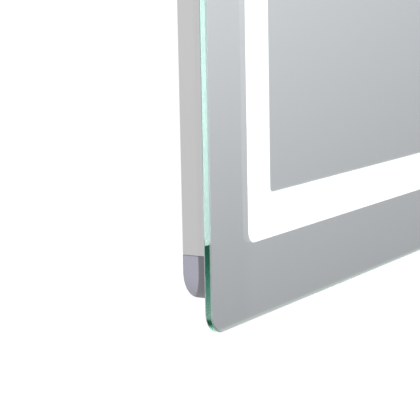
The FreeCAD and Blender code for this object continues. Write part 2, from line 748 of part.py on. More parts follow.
def driver_case():
    """Driver case: a tray with two ears and an opening for a lead in each end."""
    body = new_body("driver_case")
    sketch = sketch_on(body, "XZ_Plane", PANEL_FRONT)
    centred(sketch, DRIVER_X, "driver_z", "driver_width", "driver_height")
    pad(body, sketch, "driver_depth - driver_wall")
    round_corners(body, "2 * driver_wall")
    sketch = sketch_on(body, "XZ_Plane", f"{PANEL_FRONT} + driver_wall")
    centred(sketch, DRIVER_X, "driver_z", "(driver_width - 2 * driver_wall)",
            "(driver_height - 2 * driver_wall)")
    pocket(body, sketch, "driver_depth - 2 * driver_wall")
    sketch = sketch_on(body, "XZ_Plane", PANEL_FRONT)
    for end in (-1, 1):
        edge = f"({DRIVER_X} + {end} * driver_width / 2)"
        ear = sorted((f"{edge} - {end} * driver_wall", f"{edge} + {end} * driver_ear"), key=number)
        rectangle(sketch, ear[0], "driver_z - driver_ear / 2", ear[1], "driver_z + driver_ear / 2")
    pad(body, sketch, "driver_wall")
    drill(body, driver_screw_points(), "screw_radius + fit_gap / 2", PANEL_FRONT, "driver_wall")
    sketch = sketch_on(body, "YZ_Plane", DRIVER_LEFT)
    circle(sketch, f"-{LEAD_DEPTH}", LIGHT_LEAD_Z, "thin_lead_radius + lead_fit")
    circle(sketch, f"-{LEAD_DEPTH}", SENSOR_LEAD_Z, "thin_lead_radius + lead_fit")
    pocket(body, sketch, "driver_wall")
    sketch = sketch_on(body, "YZ_Plane", f"{DRIVER_RIGHT} - driver_wall")
    circle(sketch, f"-{LEAD_DEPTH}", MAINS_LEAD_Z, "lead_radius + lead_fit")
    pocket(body, sketch, "driver_wall")
    sub_part(body, "driver_case")


def driver_lid():
    """Flat lid on the driver case."""
    body = new_body("driver_lid")
    sketch = sketch_on(body, "XZ_Plane", f"{DRIVER_TOP} - driver_wall")
    centred(sketch, DRIVER_X, "driver_z", "driver_width", "driver_height")
    pad(body, sketch, "driver_wall")
    round_corners(body, "2 * driver_wall")
    sub_part(body, "driver_lid")


BOARD_BACK = f"({PANEL_FRONT} + driver_wall)"
BOARD_FRONT = f"({BOARD_BACK} + board_standoff + board_thick)"


def driver_board():
    """Driver circuit board on four standoffs, clear of the leads at both ends."""
    body = new_body("driver_board")
    width = "(driver_width - 8 * driver_wall - 2 * driver_ear)"
    height = "(driver_height - 4 * driver_wall)"
    sketch = sketch_on(body, "XZ_Plane", f"{BOARD_BACK} + board_standoff")
    centred(sketch, DRIVER_X, "driver_z", width, height)
    pad(body, sketch, "board_thick")
    points = [(f"{DRIVER_X} + {across} * ({width} / 2 - 2 * driver_wall)",
               f"driver_z + {up} * ({height} / 2 - 2 * driver_wall)")
              for across in (-1, 1) for up in (-1, 1)]
    discs(body, points, "driver_wall", BOARD_BACK, "board_standoff")
    sub_part(body, "driver_board")


def driver_transformer():
    """Transformer block on the driver board."""
    body = new_body("driver_transformer")
    sketch = sketch_on(body, "XZ_Plane", BOARD_FRONT)
    centred(sketch, DRIVER_X, "driver_z", "transformer_length", "transformer_height")
    pad(body, sketch, "transformer_depth")
    round_corners(body, "driver_wall")
    sub_part(body, "driver_transformer")


def driver_capacitors():
    """Row of three capacitors on the driver board."""
    body = new_body("driver_capacitors", True)
    points = [(f"{DRIVER_X} + transformer_length / 2 + capacitor_pitch",
               f"driver_z + {step} * capacitor_pitch * 0.8") for step in (-1, 0, 1)]
    discs(body, points, "capacitor_radius", BOARD_FRONT, "capacitor_depth")
    sub_part(body, "driver_capacitors")


# ---------------------------------------------------------------- connection box

BOX_BACK = f"({PANEL_BACK} - box_rim_thick)"
BOX_FRONT = f"({PANEL_BACK} + box_depth)"
BOX_LEFT = f"({DRIVER_RIGHT} + box_margin)"
BOX_RIGHT = f"({BOX_LEFT} + box_width)"
BOX_X = f"({BOX_LEFT} + box_width / 2)"
BOX_LOW = "(box_z - box_height / 2)"
BOX_TOP = "(box_z + box_height / 2)"
LID_TOP = f"({BOX_TOP} - box_fixed)"
LID_AXIS_X = f"({BOX_LEFT} + box_wall + lid_gap + lid_thick / 2)"
LID_AXIS_DEPTH = f"({BOX_BACK} + lid_thick / 2)"
GLAND_Z = f"({BOX_TOP} - box_fixed / 2)"
DEMISTER_LEAD_Z = "(box_z - box_height / 4)"


def connection_box():
    """Box let into the panel: rim, walls, a fixed strip for the grommet and a lid ledge."""
    body = new_body("connection_box")
    sketch = sketch_on(body, "XZ_Plane", BOX_BACK)
    centred(sketch, BOX_X, "box_z", "(box_width + 2 * box_rim)", "(box_height + 2 * box_rim)")
    pad(body, sketch, "box_rim_thick")
    sketch = sketch_on(body, "XZ_Plane", BOX_BACK)
    centred(sketch, BOX_X, "box_z", "box_width", "box_height")
    pad(body, sketch, "box_depth + box_rim_thick")
    sketch = sketch_on(body, "XZ_Plane", f"{BOX_BACK} + lid_thick")
    rectangle(sketch, f"{BOX_LEFT} + box_wall", f"{BOX_LOW} + box_wall",
              f"{BOX_RIGHT} - box_wall", f"{BOX_TOP} - box_wall")
    pocket(body, sketch, "box_depth + box_rim_thick - lid_thick - box_wall")
    sketch = sketch_on(body, "XZ_Plane", BOX_BACK)
    rectangle(sketch, f"{BOX_LEFT} + box_wall", f"{BOX_LOW} + box_wall",
              f"{BOX_RIGHT} - box_wall", LID_TOP)
    pocket(body, sketch, "lid_thick")
    add_box_ledge(body)
    drill_box(body)
    sub_part(body, "connection_box")


def add_box_ledge(body):
    """Ledge on the wall opposite the hinge, which stops the closed lid."""
    sketch = sketch_on(body, "XZ_Plane", f"{BOX_BACK} + lid_thick + lid_gap")
    rectangle(sketch, f"{BOX_RIGHT} - box_wall - ledge_width", f"{BOX_LOW} + 3 * box_rim",
              f"{BOX_RIGHT} - box_wall / 2", f"{LID_TOP} - 3 * box_rim")
    pad(body, sketch, "box_wall")


def drill_box(body):
    """Grommet hole, lead hole, and the two hinge pin holes of the lid."""
    drill(body, [(BOX_X, GLAND_Z)], "gland_body + fit_gap / 2", BOX_BACK, "lid_thick")
    drill(body, rivet_points(), "rivet_radius + fit_gap / 2", BOX_BACK, "box_rim_thick")
    sketch = sketch_on(body, "YZ_Plane", BOX_LEFT)
    circle(sketch, f"-{LEAD_DEPTH}", MAINS_LEAD_Z, "lead_radius + lead_fit")
    circle(sketch, f"-{LEAD_DEPTH}", DEMISTER_LEAD_Z, "thin_lead_radius + lead_fit")
    pocket(body, sketch, "box_wall")
    sketch = sketch_on(body, "XY_Plane", BOX_LOW)
    circle(sketch, LID_AXIS_X, f"-{LID_AXIS_DEPTH}", "lid_pin + lid_pin_gap")
    pocket(body, sketch, "box_wall + lid_gap")
    sketch = sketch_on(body, "XY_Plane", LID_TOP)
    circle(sketch, LID_AXIS_X, f"-{LID_AXIS_DEPTH}", "lid_pin + lid_pin_gap")
    pocket(body, sketch, "box_wall + lid_gap")


def rivet_points():
    """Rivets at the corners of the box rim."""
    return [(f"{BOX_X} + {across} * (box_width + box_rim) / 2",
             f"box_z + {up} * (box_height + box_rim) / 2")
            for across in (-1, 1) for up in (-1, 1)]


def box_rivets():
    """Four rivets that hold the box rim to the back panel."""
    body = new_body("box_rivets", True)
    discs(body, rivet_points(), "rivet_radius", BOX_BACK, "rivet_length")
    discs(body, rivet_points(), "rivet_head", f"{BOX_BACK} - rivet_head_thick", "rivet_head_thick")
    dress(body, "Fillet", "rivet_head_thick * 0.7", lambda edge, middle:
          near(middle.y, f"-({BOX_BACK} - rivet_head_thick)"))
    sub_part(body, "box_rivets")


def box_lid():
    """Hinged lid of the connection box, with pins at both ends and a finger notch."""
    body = new_body("connection_box_lid")
    low, high = f"{BOX_LOW} + box_wall + lid_gap", f"{LID_TOP} - lid_gap"
    sketch = sketch_on(body, "XY_Plane", low)
    circle(sketch, LID_AXIS_X, f"-{LID_AXIS_DEPTH}", "lid_thick / 2")
    pad(body, sketch, f"{high} - ({low})")
    sketch = sketch_on(body, "XZ_Plane", BOX_BACK)
    rectangle(sketch, LID_AXIS_X, low, f"{BOX_RIGHT} - box_wall - lid_gap", high)
    pad(body, sketch, "lid_thick")
    sketch = sketch_on(body, "XY_Plane", f"{low} - box_wall")
    circle(sketch, LID_AXIS_X, f"-{LID_AXIS_DEPTH}", "lid_pin")
    pad(body, sketch, f"{high} - ({low}) + 2 * box_wall")
    drill(body, [(f"{BOX_RIGHT} - box_wall - lid_gap", f"({LID_TOP} + {BOX_LOW}) / 2")],
          "lid_notch", BOX_BACK, "lid_thick")
    sub_part(body, "connection_box_lid")


def cable_grommet():
    """Rubber grommet for the mains cable, with a flange on each side of the box back."""
    body = new_body("cable_grommet")
    point = [(BOX_X, GLAND_Z)]
    discs(body, point, "gland_body", BOX_BACK, "lid_thick")
    discs(body, point, "gland_flange", f"{BOX_BACK} - gland_flange_thick", "gland_flange_thick")
    discs(body, point, "gland_flange", f"{BOX_BACK} + lid_thick", "gland_flange_thick")
    drill(body, point, "gland_bore", f"{BOX_BACK} - gland_flange_thick",
          "lid_thick + 2 * gland_flange_thick")
    dress(body, "Fillet", "gland_flange_thick / 2", lambda edge, middle:
          near(middle.y, f"-({BOX_BACK} - gland_flange_thick)"))
    sub_part(body, "cable_grommet")


TERMINAL_Z = f"(({LID_TOP} + {BOX_LOW}) / 2 + terminal_height / 2)"
TERMINAL_BACK = f"({BOX_FRONT} - box_wall - terminal_depth)"


def terminal_points():
    """Centres of the six terminal screws."""
    return [(f"{BOX_X} + {pole} * terminal_pitch", f"{TERMINAL_Z} + {row} * terminal_row")
            for pole in (-1, 0, 1) for row in (-1, 1)]


def terminal_block():
    """Three pole terminal block on the floor of the connection box."""
    body = new_body("terminal_block")
    sketch = sketch_on(body, "XZ_Plane", TERMINAL_BACK)
    centred(sketch, BOX_X, TERMINAL_Z, "terminal_width", "terminal_height")
    pad(body, sketch, "terminal_depth")
    drill(body, terminal_points(), "terminal_screw + fit_gap", TERMINAL_BACK, "terminal_depth / 2")
    sub_part(body, "terminal_block")


def terminal_screws():
    """Six terminal screws, sunk in the block."""
    body = new_body("terminal_screws", True)
    discs(body, terminal_points(), "terminal_screw",
          f"{TERMINAL_BACK} + terminal_depth / 5", "terminal_depth * 0.3")
    sub_part(body, "terminal_screws")


# ---------------------------------------------------------------- behind the pane

def demister_pad():
    """Heating film on the back of the silver, in the middle of the pane."""
    body = new_body("demister_pad")
    sketch = sketch_on(body, "XZ_Plane", f"{SILVER_BACK} - demister_thick")
    centred(sketch, "0", PANE_MIDDLE, f"(2 * ({FIELD_HALF} - demister_margin))", "demister_height")
    pad(body, sketch, "demister_thick")
    round_corners(body, "demister_corner")
    sub_part(body, "demister_pad")


SENSOR_Z = f"({GLASS_LOW} + sensor_up)"


def sensor_cover():
    """Cover of the touch sensor, bonded to the back of the pane."""
    body = new_body("sensor_cover")
    sketch = sketch_on(body, "XZ_Plane", f"{SILVER_BACK} - sensor_depth")
    centred(sketch, "0", SENSOR_Z, "sensor_width", "sensor_height")
    pad(body, sketch, "sensor_depth")
    round_corners(body, "2 * sensor_wall")
    sketch = sketch_on(body, "XZ_Plane", f"{SILVER_BACK} - sensor_depth + sensor_wall")
    centred(sketch, "0", SENSOR_Z, "(sensor_width - 2 * sensor_wall)",
            "(sensor_height - 2 * sensor_wall)")
    pocket(body, sketch, "sensor_depth - sensor_wall")
    drill(body, [("0", SENSOR_Z)], "thin_lead_radius + lead_fit",
          f"{SILVER_BACK} - sensor_depth", "sensor_wall")
    sub_part(body, "sensor_cover")


def sensor_board():
    """Touch sensor board against the silver, inside its cover."""
    body = new_body("sensor_board")
    sketch = sketch_on(body, "XZ_Plane", f"{SILVER_BACK} - board_thick")
    centred(sketch, "0", SENSOR_Z, "(sensor_width - 2 * sensor_wall - 2 * fit_gap)",
            "(sensor_height - 2 * sensor_wall - 2 * fit_gap)")
    pad(body, sketch, "board_thick")
    sub_part(body, "sensor_board")


# ---------------------------------------------------------------- leads

def tube(route, radius):
    """A tube along straight runs joined by tangent arcs, each arc as large as its runs allow."""
    points = [FreeCAD.Vector(*(number(value) for value in point)) for point in route]
    edges = []
    start = points[0]
    for before, corner, after in zip(points, points[1:], points[2:]):
        inward, outward = (before - corner).normalize(), (after - corner).normalize()
        half_turn = (math.pi - inward.getAngle(outward)) / 2
        reach = 0.45 * min((before - corner).Length, (after - corner).Length)
        bend = reach / math.tan(half_turn)
        first, last = corner + inward * reach, corner + outward * reach
        centre_way = (inward + outward).normalize()
        top = corner + centre_way * (bend / math.cos(half_turn) - bend)
        edges.append(Part.LineSegment(start, first).toShape())
        edges.append(Part.Arc(first, top, last).toShape())
        start = last
    edges.append(Part.LineSegment(start, points[-1]).toShape())
    path = Part.Wire(edges)
    section = Part.Wire(Part.makeCircle(radius, points[0], points[1] - points[0]))
    solid = path.makePipeShell([section], True, False)
    expected = math.pi * radius ** 2 * path.Length
    if abs(solid.Volume - expected) > 0.01 * expected:
        raise RuntimeError("a lead's volume is not its section times its length")
    return solid


def lead(name, route, radius):
    """A lead along a route of formulas."""
    feature = doc.addObject("Part::Feature", name)
    feature.Shape = tube(route, number(radius))
    sub_part(feature, name)


def internal_leads():
    """Leads between the connection box, the driver, the pane and the light strips."""
    deep, pad_back = f"-{LEAD_DEPTH}", f"-({SILVER_BACK} - demister_thick)"
    raceway = f"(-({GLASS_HALF} - channel_inset - channel_wall - 1.5 * thin_lead_radius))"
    web = f"(-({GLASS_HALF} - channel_inset))"
    exit_z = side_point("left", "channel_inset", "0", LEAD_HOLE_UP)[1]
    in_driver, in_box = "(driver_wall + lead_end)", "(box_wall + lead_end)"
    lead("mains_lead", (
        (f"{DRIVER_RIGHT} - {in_driver}", deep, MAINS_LEAD_Z),
        (f"{BOX_LEFT} + {in_box}", deep, MAINS_LEAD_Z)), "lead_radius")
    lead("light_lead", (
        (f"{DRIVER_LEFT} + {in_driver}", deep, LIGHT_LEAD_Z), (raceway, deep, LIGHT_LEAD_Z),
        (raceway, deep, exit_z), (web, deep, exit_z)), "thin_lead_radius")
    demister_low = f"({PANE_MIDDLE} + demister_height / 2 - demister_overlap)"
    demister_x = f"({BOX_LEFT} - demister_lead_run)"
    sensor_x = f"(lead_margin - {FIELD_HALF})"
    lead("demister_lead", (
        (f"{BOX_LEFT} + {in_box}", deep, DEMISTER_LEAD_Z),
        (demister_x, deep, DEMISTER_LEAD_Z), (demister_x, deep, demister_low),
        (demister_x, pad_back, demister_low)), "thin_lead_radius")
    board_back = f"-({SILVER_BACK} - board_thick)"
    lead("sensor_lead", (
        (f"{DRIVER_LEFT} + {in_driver}", deep, SENSOR_LEAD_Z),
        (sensor_x, deep, SENSOR_LEAD_Z), (sensor_x, deep, SENSOR_Z),
        ("0", deep, SENSOR_Z), ("0", board_back, SENSOR_Z)), "thin_lead_radius")


def strip_connector():
    """Connector that joins the light lead to the upper end of the left light strip."""
    body = new_body("strip_connector")
    low = f"({LEAD_HOLE_UP} - connector_length * 0.7)"
    high = f"({LEAD_HOLE_UP} + connector_length * 0.3)"
    strip_end = f"({side_length('left', 'channel_inset')} - strip_margin + fit_gap)"
    face = "(-strip_thick)"
    sketch = sketch_on(body, "XZ_Plane", f"{LEAD_DEPTH} - thin_lead_radius - lead_fit")
    outline(sketch, (("-connector_thick", low), (face, low), (face, strip_end), ("0", strip_end),
                     ("0", high), ("-connector_thick", high)))
    pad(body, sketch, "connector_depth")
    place_side(body, "left", "channel_inset")
    sub_part(body, "strip_connector")


def strip_jumpers():
    """Pairs of wires that carry the supply round three corners of the channels."""
    lift = "(-strip_thick - 1.3 * jumper_radius)"
    wires = []
    for corner in range(3):
        ahead, behind = SIDES[corner], SIDES[corner - 1]
        start = side_point(ahead, "channel_inset", lift, f"{strip_start(ahead)} + jumper_reach")
        bow = side_point(ahead, "channel_inset", "-jumper_bow", "-jumper_bow")
        back = f"{side_length(behind, 'channel_inset')} - {strip_start(behind)} - jumper_reach"
        end = side_point(behind, "channel_inset", lift, back)
        for way in (-1, 1):
            depth = f"-({STRIP_MIDDLE} + jumper_bow / 2 + {way} * jumper_spread)"
            route = [(x, depth, z) for x, z in (start, bow, end)]
            wires.append(tube(route, number("jumper_radius")))
    feature = doc.addObject("Part::Feature", "strip_jumpers")
    feature.Shape = Part.makeCompound(wires)
    sub_part(feature, "strip_jumpers")


def cable_mounts():
    """Three adhesive mounts that guide the sensor lead down the back panel."""
    body = new_body("cable_mounts", True)
    heights = [f"({SENSOR_Z} + mount_first + {step} * mount_pitch)" for step in range(3)]
    sensor_x = f"(lead_margin - {FIELD_HALF})"
    sketch = sketch_on(body, "XZ_Plane", PANEL_FRONT)
    for height in heights:
        centred(sketch, sensor_x, height, "mount_size", "mount_size")
    pad(body, sketch, "2 * lead_lift + 2 * lead_radius")
    round_corners(body, "lead_lift")
    sketch = sketch_on(body, "XY_Plane", f"{heights[0]} - mount_size")
    circle(sketch, sensor_x, f"-{LEAD_DEPTH}", "thin_lead_radius + fit_gap / 2")
    pocket(body, sketch, "2 * mount_pitch + 2 * mount_size")
    sub_part(body, "cable_mounts")


def build():
    """Make every sub-part."""
    fill_sheet()
    mirror_glass()
    silver_backing()
    light_band()
    for side in SIDES:
        side_strip(side)
    for index in range(len(CORNERS)):
        corner_cap(index)
    back_panel()
    screws("panel_screws", panel_screw_points())
    screws("hanging_screws", hang_screw_points())
    screws("driver_screws", driver_screw_points())
    for side in SIDES:
        channel(side)
    for side in SIDES:
        light_strip(side)
    for side in SIDES:
        light_diodes(side)
    bonding_tape("housing_tape", "housing_inset", "side_wall", "cap_leg")
    bonding_tape("channel_tape", "channel_inset", "channel_wall", "(channel_flange + channel_gap)")
    wall_hooks()
    hanging_plates()
    wall_bumpers()
    driver_case()
    driver_lid()
    driver_board()
    driver_transformer()
    driver_capacitors()
    connection_box()
    box_lid()
    box_rivets()
    cable_grommet()
    terminal_block()
    terminal_screws()
    demister_pad()
    sensor_cover()
    sensor_board()
    internal_leads()
    strip_connector()
    strip_jumpers()
    cable_mounts()


def check_and_export():
    """Stop on any failed object, then write one file for each sub-part."""
    doc.recompute()
    for item in doc.Objects:
        if "Invalid" in item.State or "Error" in item.State:
            raise RuntimeError(f"{item.Label} failed: {item.State}")
    for item in sub_parts:
        if item.Shape.isNull() or not item.Shape.isValid():
            raise RuntimeError(f"{item.Label} has no valid shape")
    os.makedirs("parts", exist_ok=True)
    for item in sub_parts:
        item.Shape.exportStep(os.path.join("parts", f"{item.Label}.step"))
        box = item.Shape.BoundBox
        print(f"{item.Label}: {len(item.Shape.Solids)} solids, x {box.XMin:.1f}..{box.XMax:.1f}, "
              f"y {box.YMin:.1f}..{box.YMax:.1f}, z {box.ZMin:.1f}..{box.ZMax:.1f}")


build()
check_and_export()
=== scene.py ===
"""Looks of a lighted bathroom mirror, in metres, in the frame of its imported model.

The wall plane is Y = 0, the pane faces -Y and Z is up. Run as a script, it dresses every node of
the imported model, makes the pane as one refracting slab, makes the corner caps and the cross head
screws in full form, and sets up the stage and the camera.
"""
import math

import bpy
import numpy as np
from bpy.props import FloatProperty, FloatVectorProperty, IntProperty, PointerProperty
from mathutils import Matrix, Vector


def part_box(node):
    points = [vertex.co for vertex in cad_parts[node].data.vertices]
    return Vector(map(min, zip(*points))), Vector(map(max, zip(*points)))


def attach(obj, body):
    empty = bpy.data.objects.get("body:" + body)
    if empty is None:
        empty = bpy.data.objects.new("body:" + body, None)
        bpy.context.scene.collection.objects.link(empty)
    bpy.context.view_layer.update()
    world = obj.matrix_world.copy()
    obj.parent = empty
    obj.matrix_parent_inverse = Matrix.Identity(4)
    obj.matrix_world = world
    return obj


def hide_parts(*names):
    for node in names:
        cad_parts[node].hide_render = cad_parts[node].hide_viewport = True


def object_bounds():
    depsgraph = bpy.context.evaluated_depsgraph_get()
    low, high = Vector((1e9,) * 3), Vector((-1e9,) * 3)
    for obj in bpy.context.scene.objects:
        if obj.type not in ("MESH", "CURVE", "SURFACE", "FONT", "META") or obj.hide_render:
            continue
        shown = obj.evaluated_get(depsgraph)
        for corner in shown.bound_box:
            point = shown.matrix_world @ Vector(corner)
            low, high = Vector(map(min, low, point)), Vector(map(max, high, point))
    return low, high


bl_info = {
    "name": "Lighted bathroom mirror",
    "version": (1, 0, 0),
    "blender": (4, 5, 0),
    "location": "3D View > Sidebar > Mirror",
    "description": "Dresses the packed model of a lighted bathroom mirror and sets its stage",
    "category": "Object",
}

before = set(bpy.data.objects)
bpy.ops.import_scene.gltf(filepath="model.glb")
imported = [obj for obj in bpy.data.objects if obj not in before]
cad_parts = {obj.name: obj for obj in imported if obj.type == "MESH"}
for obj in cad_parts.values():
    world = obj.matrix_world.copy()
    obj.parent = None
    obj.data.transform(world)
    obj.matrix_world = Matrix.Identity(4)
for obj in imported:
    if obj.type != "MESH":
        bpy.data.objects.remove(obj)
CAD_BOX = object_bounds()

SIDES = ("left", "top", "right", "bottom")
CORNERS = ("bottom_left", "top_left", "top_right", "bottom_right")
X_AXIS, Z_AXIS = 0, 2
MM = 0.001
GLASS_IOR = 1.52
# The pane is wider and taller than the rest, so the box of the whole gives its side and its foot.
PANE_SIDE, PANE_FOOT = CAD_BOX[1][0], CAD_BOX[0][2]


def colour(name, value, text):
    """A colour setting with a plain name."""
    return FloatVectorProperty(name=name, description=text, subtype="COLOR", size=3,
                               min=0.0, max=1.0, default=value)


def length(name, value, text):
    """A length setting in metres."""
    return FloatProperty(name=name, description=text, unit="LENGTH", min=0.0, default=value)


def factor(name, value, text):
    """A plain number setting."""
    return FloatProperty(name=name, description=text, min=0.0, default=value)


def angle(name, degrees, text):
    """An angle setting, given in degrees."""
    return FloatProperty(name=name, description=text, subtype="ANGLE",
                         default=math.radians(degrees))


class PaneSettings(bpy.types.PropertyGroup):
    """Sizes and colours of the pane and its light band."""

    corner: length("Corner radius", 14 * MM, "Rounded corner of the pane")
    arris: length("Arris", 0.8 * MM, "Bevel along the polished edges")
    back_gap: length("Back gap", 0.02 * MM, "Slab's back to the front of the silver coat")
    band_outer: length("Band outer corner", 8 * MM, "Outer corner radius of the light band")
    band_inner: length("Band inner corner", 3 * MM, "Inner corner radius of the light band")
    band_width: length("Band width", 30 * MM, "Width of the light band")
    corner_steps: IntProperty(name="Corner steps", description="Facets of one rounded corner",
                              min=4, default=32)
    silver: colour("Silver", (0.970, 0.972, 0.972), "Reflection of the silver coat")
    glow: factor("Band glow", 1.0, "Brightness of the lit band")
    absorb: colour("Glass body colour", (0.16, 0.70, 0.52), "What long paths in the glass let by")
    absorb_density: factor("Glass density", 9.0, "Strength of the glass body colour per metre")
    edge_tint: colour("Edge sheen", (0.25, 0.60, 0.50), "Tint of the reflection on the cut edges")
    # Painted shade: the colour that darkens the cut edges in a stretch near the pane's foot.
    edge_painted_shade: colour("Edge dimming", (0.64, 0.64, 0.64), "Tint of the cut edges where they dim")
    # Painted glow: emission on the ground bevels that stands in for band light they scatter.
    painted_bevel_glow: factor("Bevel glow", 0.55, "Light of the band that the ground bevels scatter")
    bevel: colour("Bevel", (0.20, 0.225, 0.20), "Upright front bevels, ground to a satin finish")


class HousingSettings(bpy.types.PropertyGroup):
    """Sizes and colours of the housing's pieces."""

    strip: colour("Side strip", (0.585, 0.585, 0.585), "Satin side strip")
    cap: colour("Corner cap", (0.235, 0.234, 0.246), "Moulded corner cap")
    corner: length("Housing corner", 20 * MM, "Outer corner radius of the housing")
    wall: length("Side wall", 2 * MM, "Outer wall of a corner cap")
    flange: length("Flange", 1.5 * MM, "Flanges of a corner cap")
    flange_reach: length("Flange reach", 14 * MM, "Flanges of a corner cap from its side")
    leg: length("Cap leg", 31 * MM, "Corner cap along each side")
    tongue: length("Tongue", 12 * MM, "Tongue of a cap beyond its leg")
    panel_front: length("Panel depth", 1.0 * MM, "Front of the back panel inside the housing")
    panel: colour("Back panel", (0.60, 0.61, 0.62), "Powder coat of the back panel")
    paint: colour("Backing paint", (0.30, 0.32, 0.34), "Protective paint on the silver")
    zinc: colour("Zinc", (0.62, 0.63, 0.65), "Plated screws, hooks and plates")
    white: colour("White moulding", (0.82, 0.82, 0.80), "Connection box, connectors and leads")


class StageSettings(bpy.types.PropertyGroup):
    """Studio light, floor and camera."""

    floor: colour("Floor", (0.90, 0.90, 0.90), "Plain pale floor")
    floor_drop: length("Floor drop", 1.74, "Floor below the wall plane's origin")
    floor_radius: length("Floor radius", 3.0, "Radius at which the floor ends")
    key: factor("Key light", 4.6, "Strength of the key light")
    key_tint: colour("Key tint", (0.82, 0.82, 1.0), "Colour of the key light")
    key_turn: angle("Key turn", 47.5, "Key light to the left of the pane's normal")
    key_spread: angle("Key spread", 1.5, "Width of the key light as seen from the mirror")
    focal: factor("Focal length", 119.3, "Focal length in millimetres on a 36 mm sensor")


# ------------------------------------------------------------------ shader graphs

class Value:
    """A socket of a shader graph. Sums, products and powers of values add Math nodes."""

    def __init__(self, graph, socket):
        self.graph = graph
        self.socket = socket

    def maths(self, operation, *others):
        """The result of a Math node on this value and the others."""
        inputs = dict(enumerate((self,) + others))
        return self.graph.node("ShaderNodeMath", {"operation": operation}, inputs)[0]

    def __add__(self, other):
        return self.maths("ADD", other)

    __radd__ = __add__

    def __mul__(self, other):
        return self.maths("MULTIPLY", other)

    __rmul__ = __mul__

    def __sub__(self, other):
        return self.maths("SUBTRACT", other)

    def __rsub__(self, other):
        return (self * -1.0).maths("ADD", other)

    def __truediv__(self, other):
        return self.maths("DIVIDE", other)

    def __pow__(self, other):
        return self.maths("POWER", other)

    def clamped(self, low=0.0, high=1.0):
        """The value held between two numbers."""
        return self.maths("MAXIMUM", low).maths("MINIMUM", high)

    def step(self, start, end):
        """0 up to start, 1 from end on, and a smooth rise between. Start may lie above end."""
        share = ((self - start) / (end - start)).clamped()
        return share * share * (3.0 - 2.0 * share)


class Graph:
    """The nodes of one material or world."""

    def __init__(self, tree):
        self.tree = tree
        tree.nodes.clear()

    def node(self, kind, settings=(), inputs=()):
        """Add a node: its settings first, then its sockets. Gives a lookup of its outputs."""
        made = self.tree.nodes.new(kind)
        for key, value in dict(settings).items():
            setattr(made, key, value)
        for key, value in dict(inputs).items():
            if isinstance(value, Value):
                self.tree.links.new(value.socket, made.inputs[key])
            else:
                made.inputs[key].default_value = value
        return Outputs(self, made)

    def place(self):
        """Object coordinates, as a vector value."""
        return self.node("ShaderNodeTexCoord")["Object"]

    def attribute(self, name):
        """An attribute of the mesh, as a number."""
        return self.node("ShaderNodeAttribute", {"attribute_name": name})["Fac"]

    def cells(self, scale):
        """Distance to the middle of the nearest cell of a random cell pattern."""
        inputs = {"Vector": self.place(), "Scale": scale}
        return self.node("ShaderNodeTexVoronoi", {"feature": "F1"}, inputs)["Distance"]

    def grey(self, level, tint=(1.0, 1.0, 1.0)):
        """A colour from one level, with a tint given as a factor of each channel."""
        inputs = {name: level * share for name, share in zip(("Red", "Green", "Blue"), tint)}
        return self.node("ShaderNodeCombineColor", inputs=inputs)[0]

    def axes(self, vector):
        """The three numbers of a vector."""
        split = self.node("ShaderNodeSeparateXYZ", inputs={"Vector": vector})
        return split["X"], split["Y"], split["Z"]

    def scaled(self, vector, scale):
        """A vector scaled along each axis."""
        return self.node("ShaderNodeMapping", inputs={"Vector": vector, "Scale": scale})["Vector"]

    def noise(self, vector, scale, detail):
        """Smooth noise between 0 and 1."""
        inputs = {"Vector": vector, "Scale": scale, "Detail": detail}
        return self.node("ShaderNodeTexNoise", inputs=inputs)[0]

    def blend(self, share, first, second):
        """A colour between two colours."""
        made = self.node("ShaderNodeMix", {"data_type": "RGBA"}, {0: share, 6: first, 7: second})
        return made[2]

    def layered(self, share, under, over):
        """A shader between two shaders."""
        return self.node("ShaderNodeMixShader", inputs={0: share, 1: under, 2: over})[0]

    def bump(self, height, distance, strength):
        """A normal bent by a height."""
        inputs = {"Height": height, "Distance": distance, "Strength": strength}
        return self.node("ShaderNodeBump", inputs=inputs)["Normal"]

    def surface(self, **inputs):
        """The Principled shader, with its sockets given by name."""
        named = {key.replace("_", " "): value for key, value in inputs.items()}
        return self.node("ShaderNodeBsdfPrincipled", inputs=named)[0]


class Outputs:
    """Outputs of a node as values, by name or by number."""

    def __init__(self, graph, made):
        self.graph = graph
        self.made = made

    def __getitem__(self, key):
        return Value(self.graph, self.made.outputs[key])


def rgba(values, scale=1.0):
    """A colour with full alpha, made lighter or darker by a scale."""
    return (*(min(1.0, value * scale) for value in values), 1.0)


def material(name, build):
    """A material whose surface comes from a function of its graph."""
    made = bpy.data.materials.new(name)
    made.use_nodes = True
    graph = Graph(made.node_tree)
    parts = build(graph)
    surface, volume = parts if isinstance(parts, tuple) else (parts, None)
    inputs = {"Surface": surface}
    if volume is not None:
        inputs["Volume"] = volume
    graph.node("ShaderNodeOutputMaterial", inputs=inputs)
    return made


# ------------------------------------------------------------------ finishes

def satin_metal(name, tint, along, roughness=0.34, grain=0.5):
    """Metal with fine grain drawn along one axis, in its colour, its roughness and its relief."""
    across_grain, along_grain = 900.0, 6.0

    def build(graph):
        stretch = [across_grain] * 3
        stretch[along] = along_grain
        lines = graph.noise(graph.scaled(graph.place(), stretch), 1.0, 3.0)
        cloud = graph.noise(graph.place(), 9.0, 2.0)
        shade = graph.blend(lines * 0.5 + cloud * 0.5, rgba(tint, 0.96), rgba(tint, 1.04))
        return graph.surface(Base_Color=shade, Metallic=1.0,
                             Roughness=roughness + (lines - 0.5) * 0.12 * grain,
                             Normal=graph.bump(lines, 0.01 * MM, grain))
    return material(name, build)


def plated_metal(name, tint, roughness=0.3):
    """Zinc plated or cast metal: a soft mottle of crystals with fine wear in its roughness."""
    def build(graph):
        mottle = graph.cells(420.0)
        cloud = graph.noise(graph.place(), 160.0, 3.0)
        shade = graph.blend((mottle + cloud * 0.6).clamped(), rgba(tint, 0.88), rgba(tint, 1.08))
        return graph.surface(Base_Color=shade, Metallic=1.0,
                             Roughness=(roughness + (cloud - 0.5) * 0.25).clamped(0.08, 0.9),
                             Normal=graph.bump(cloud, 0.02 * MM, 0.6))
    return material(name, build)


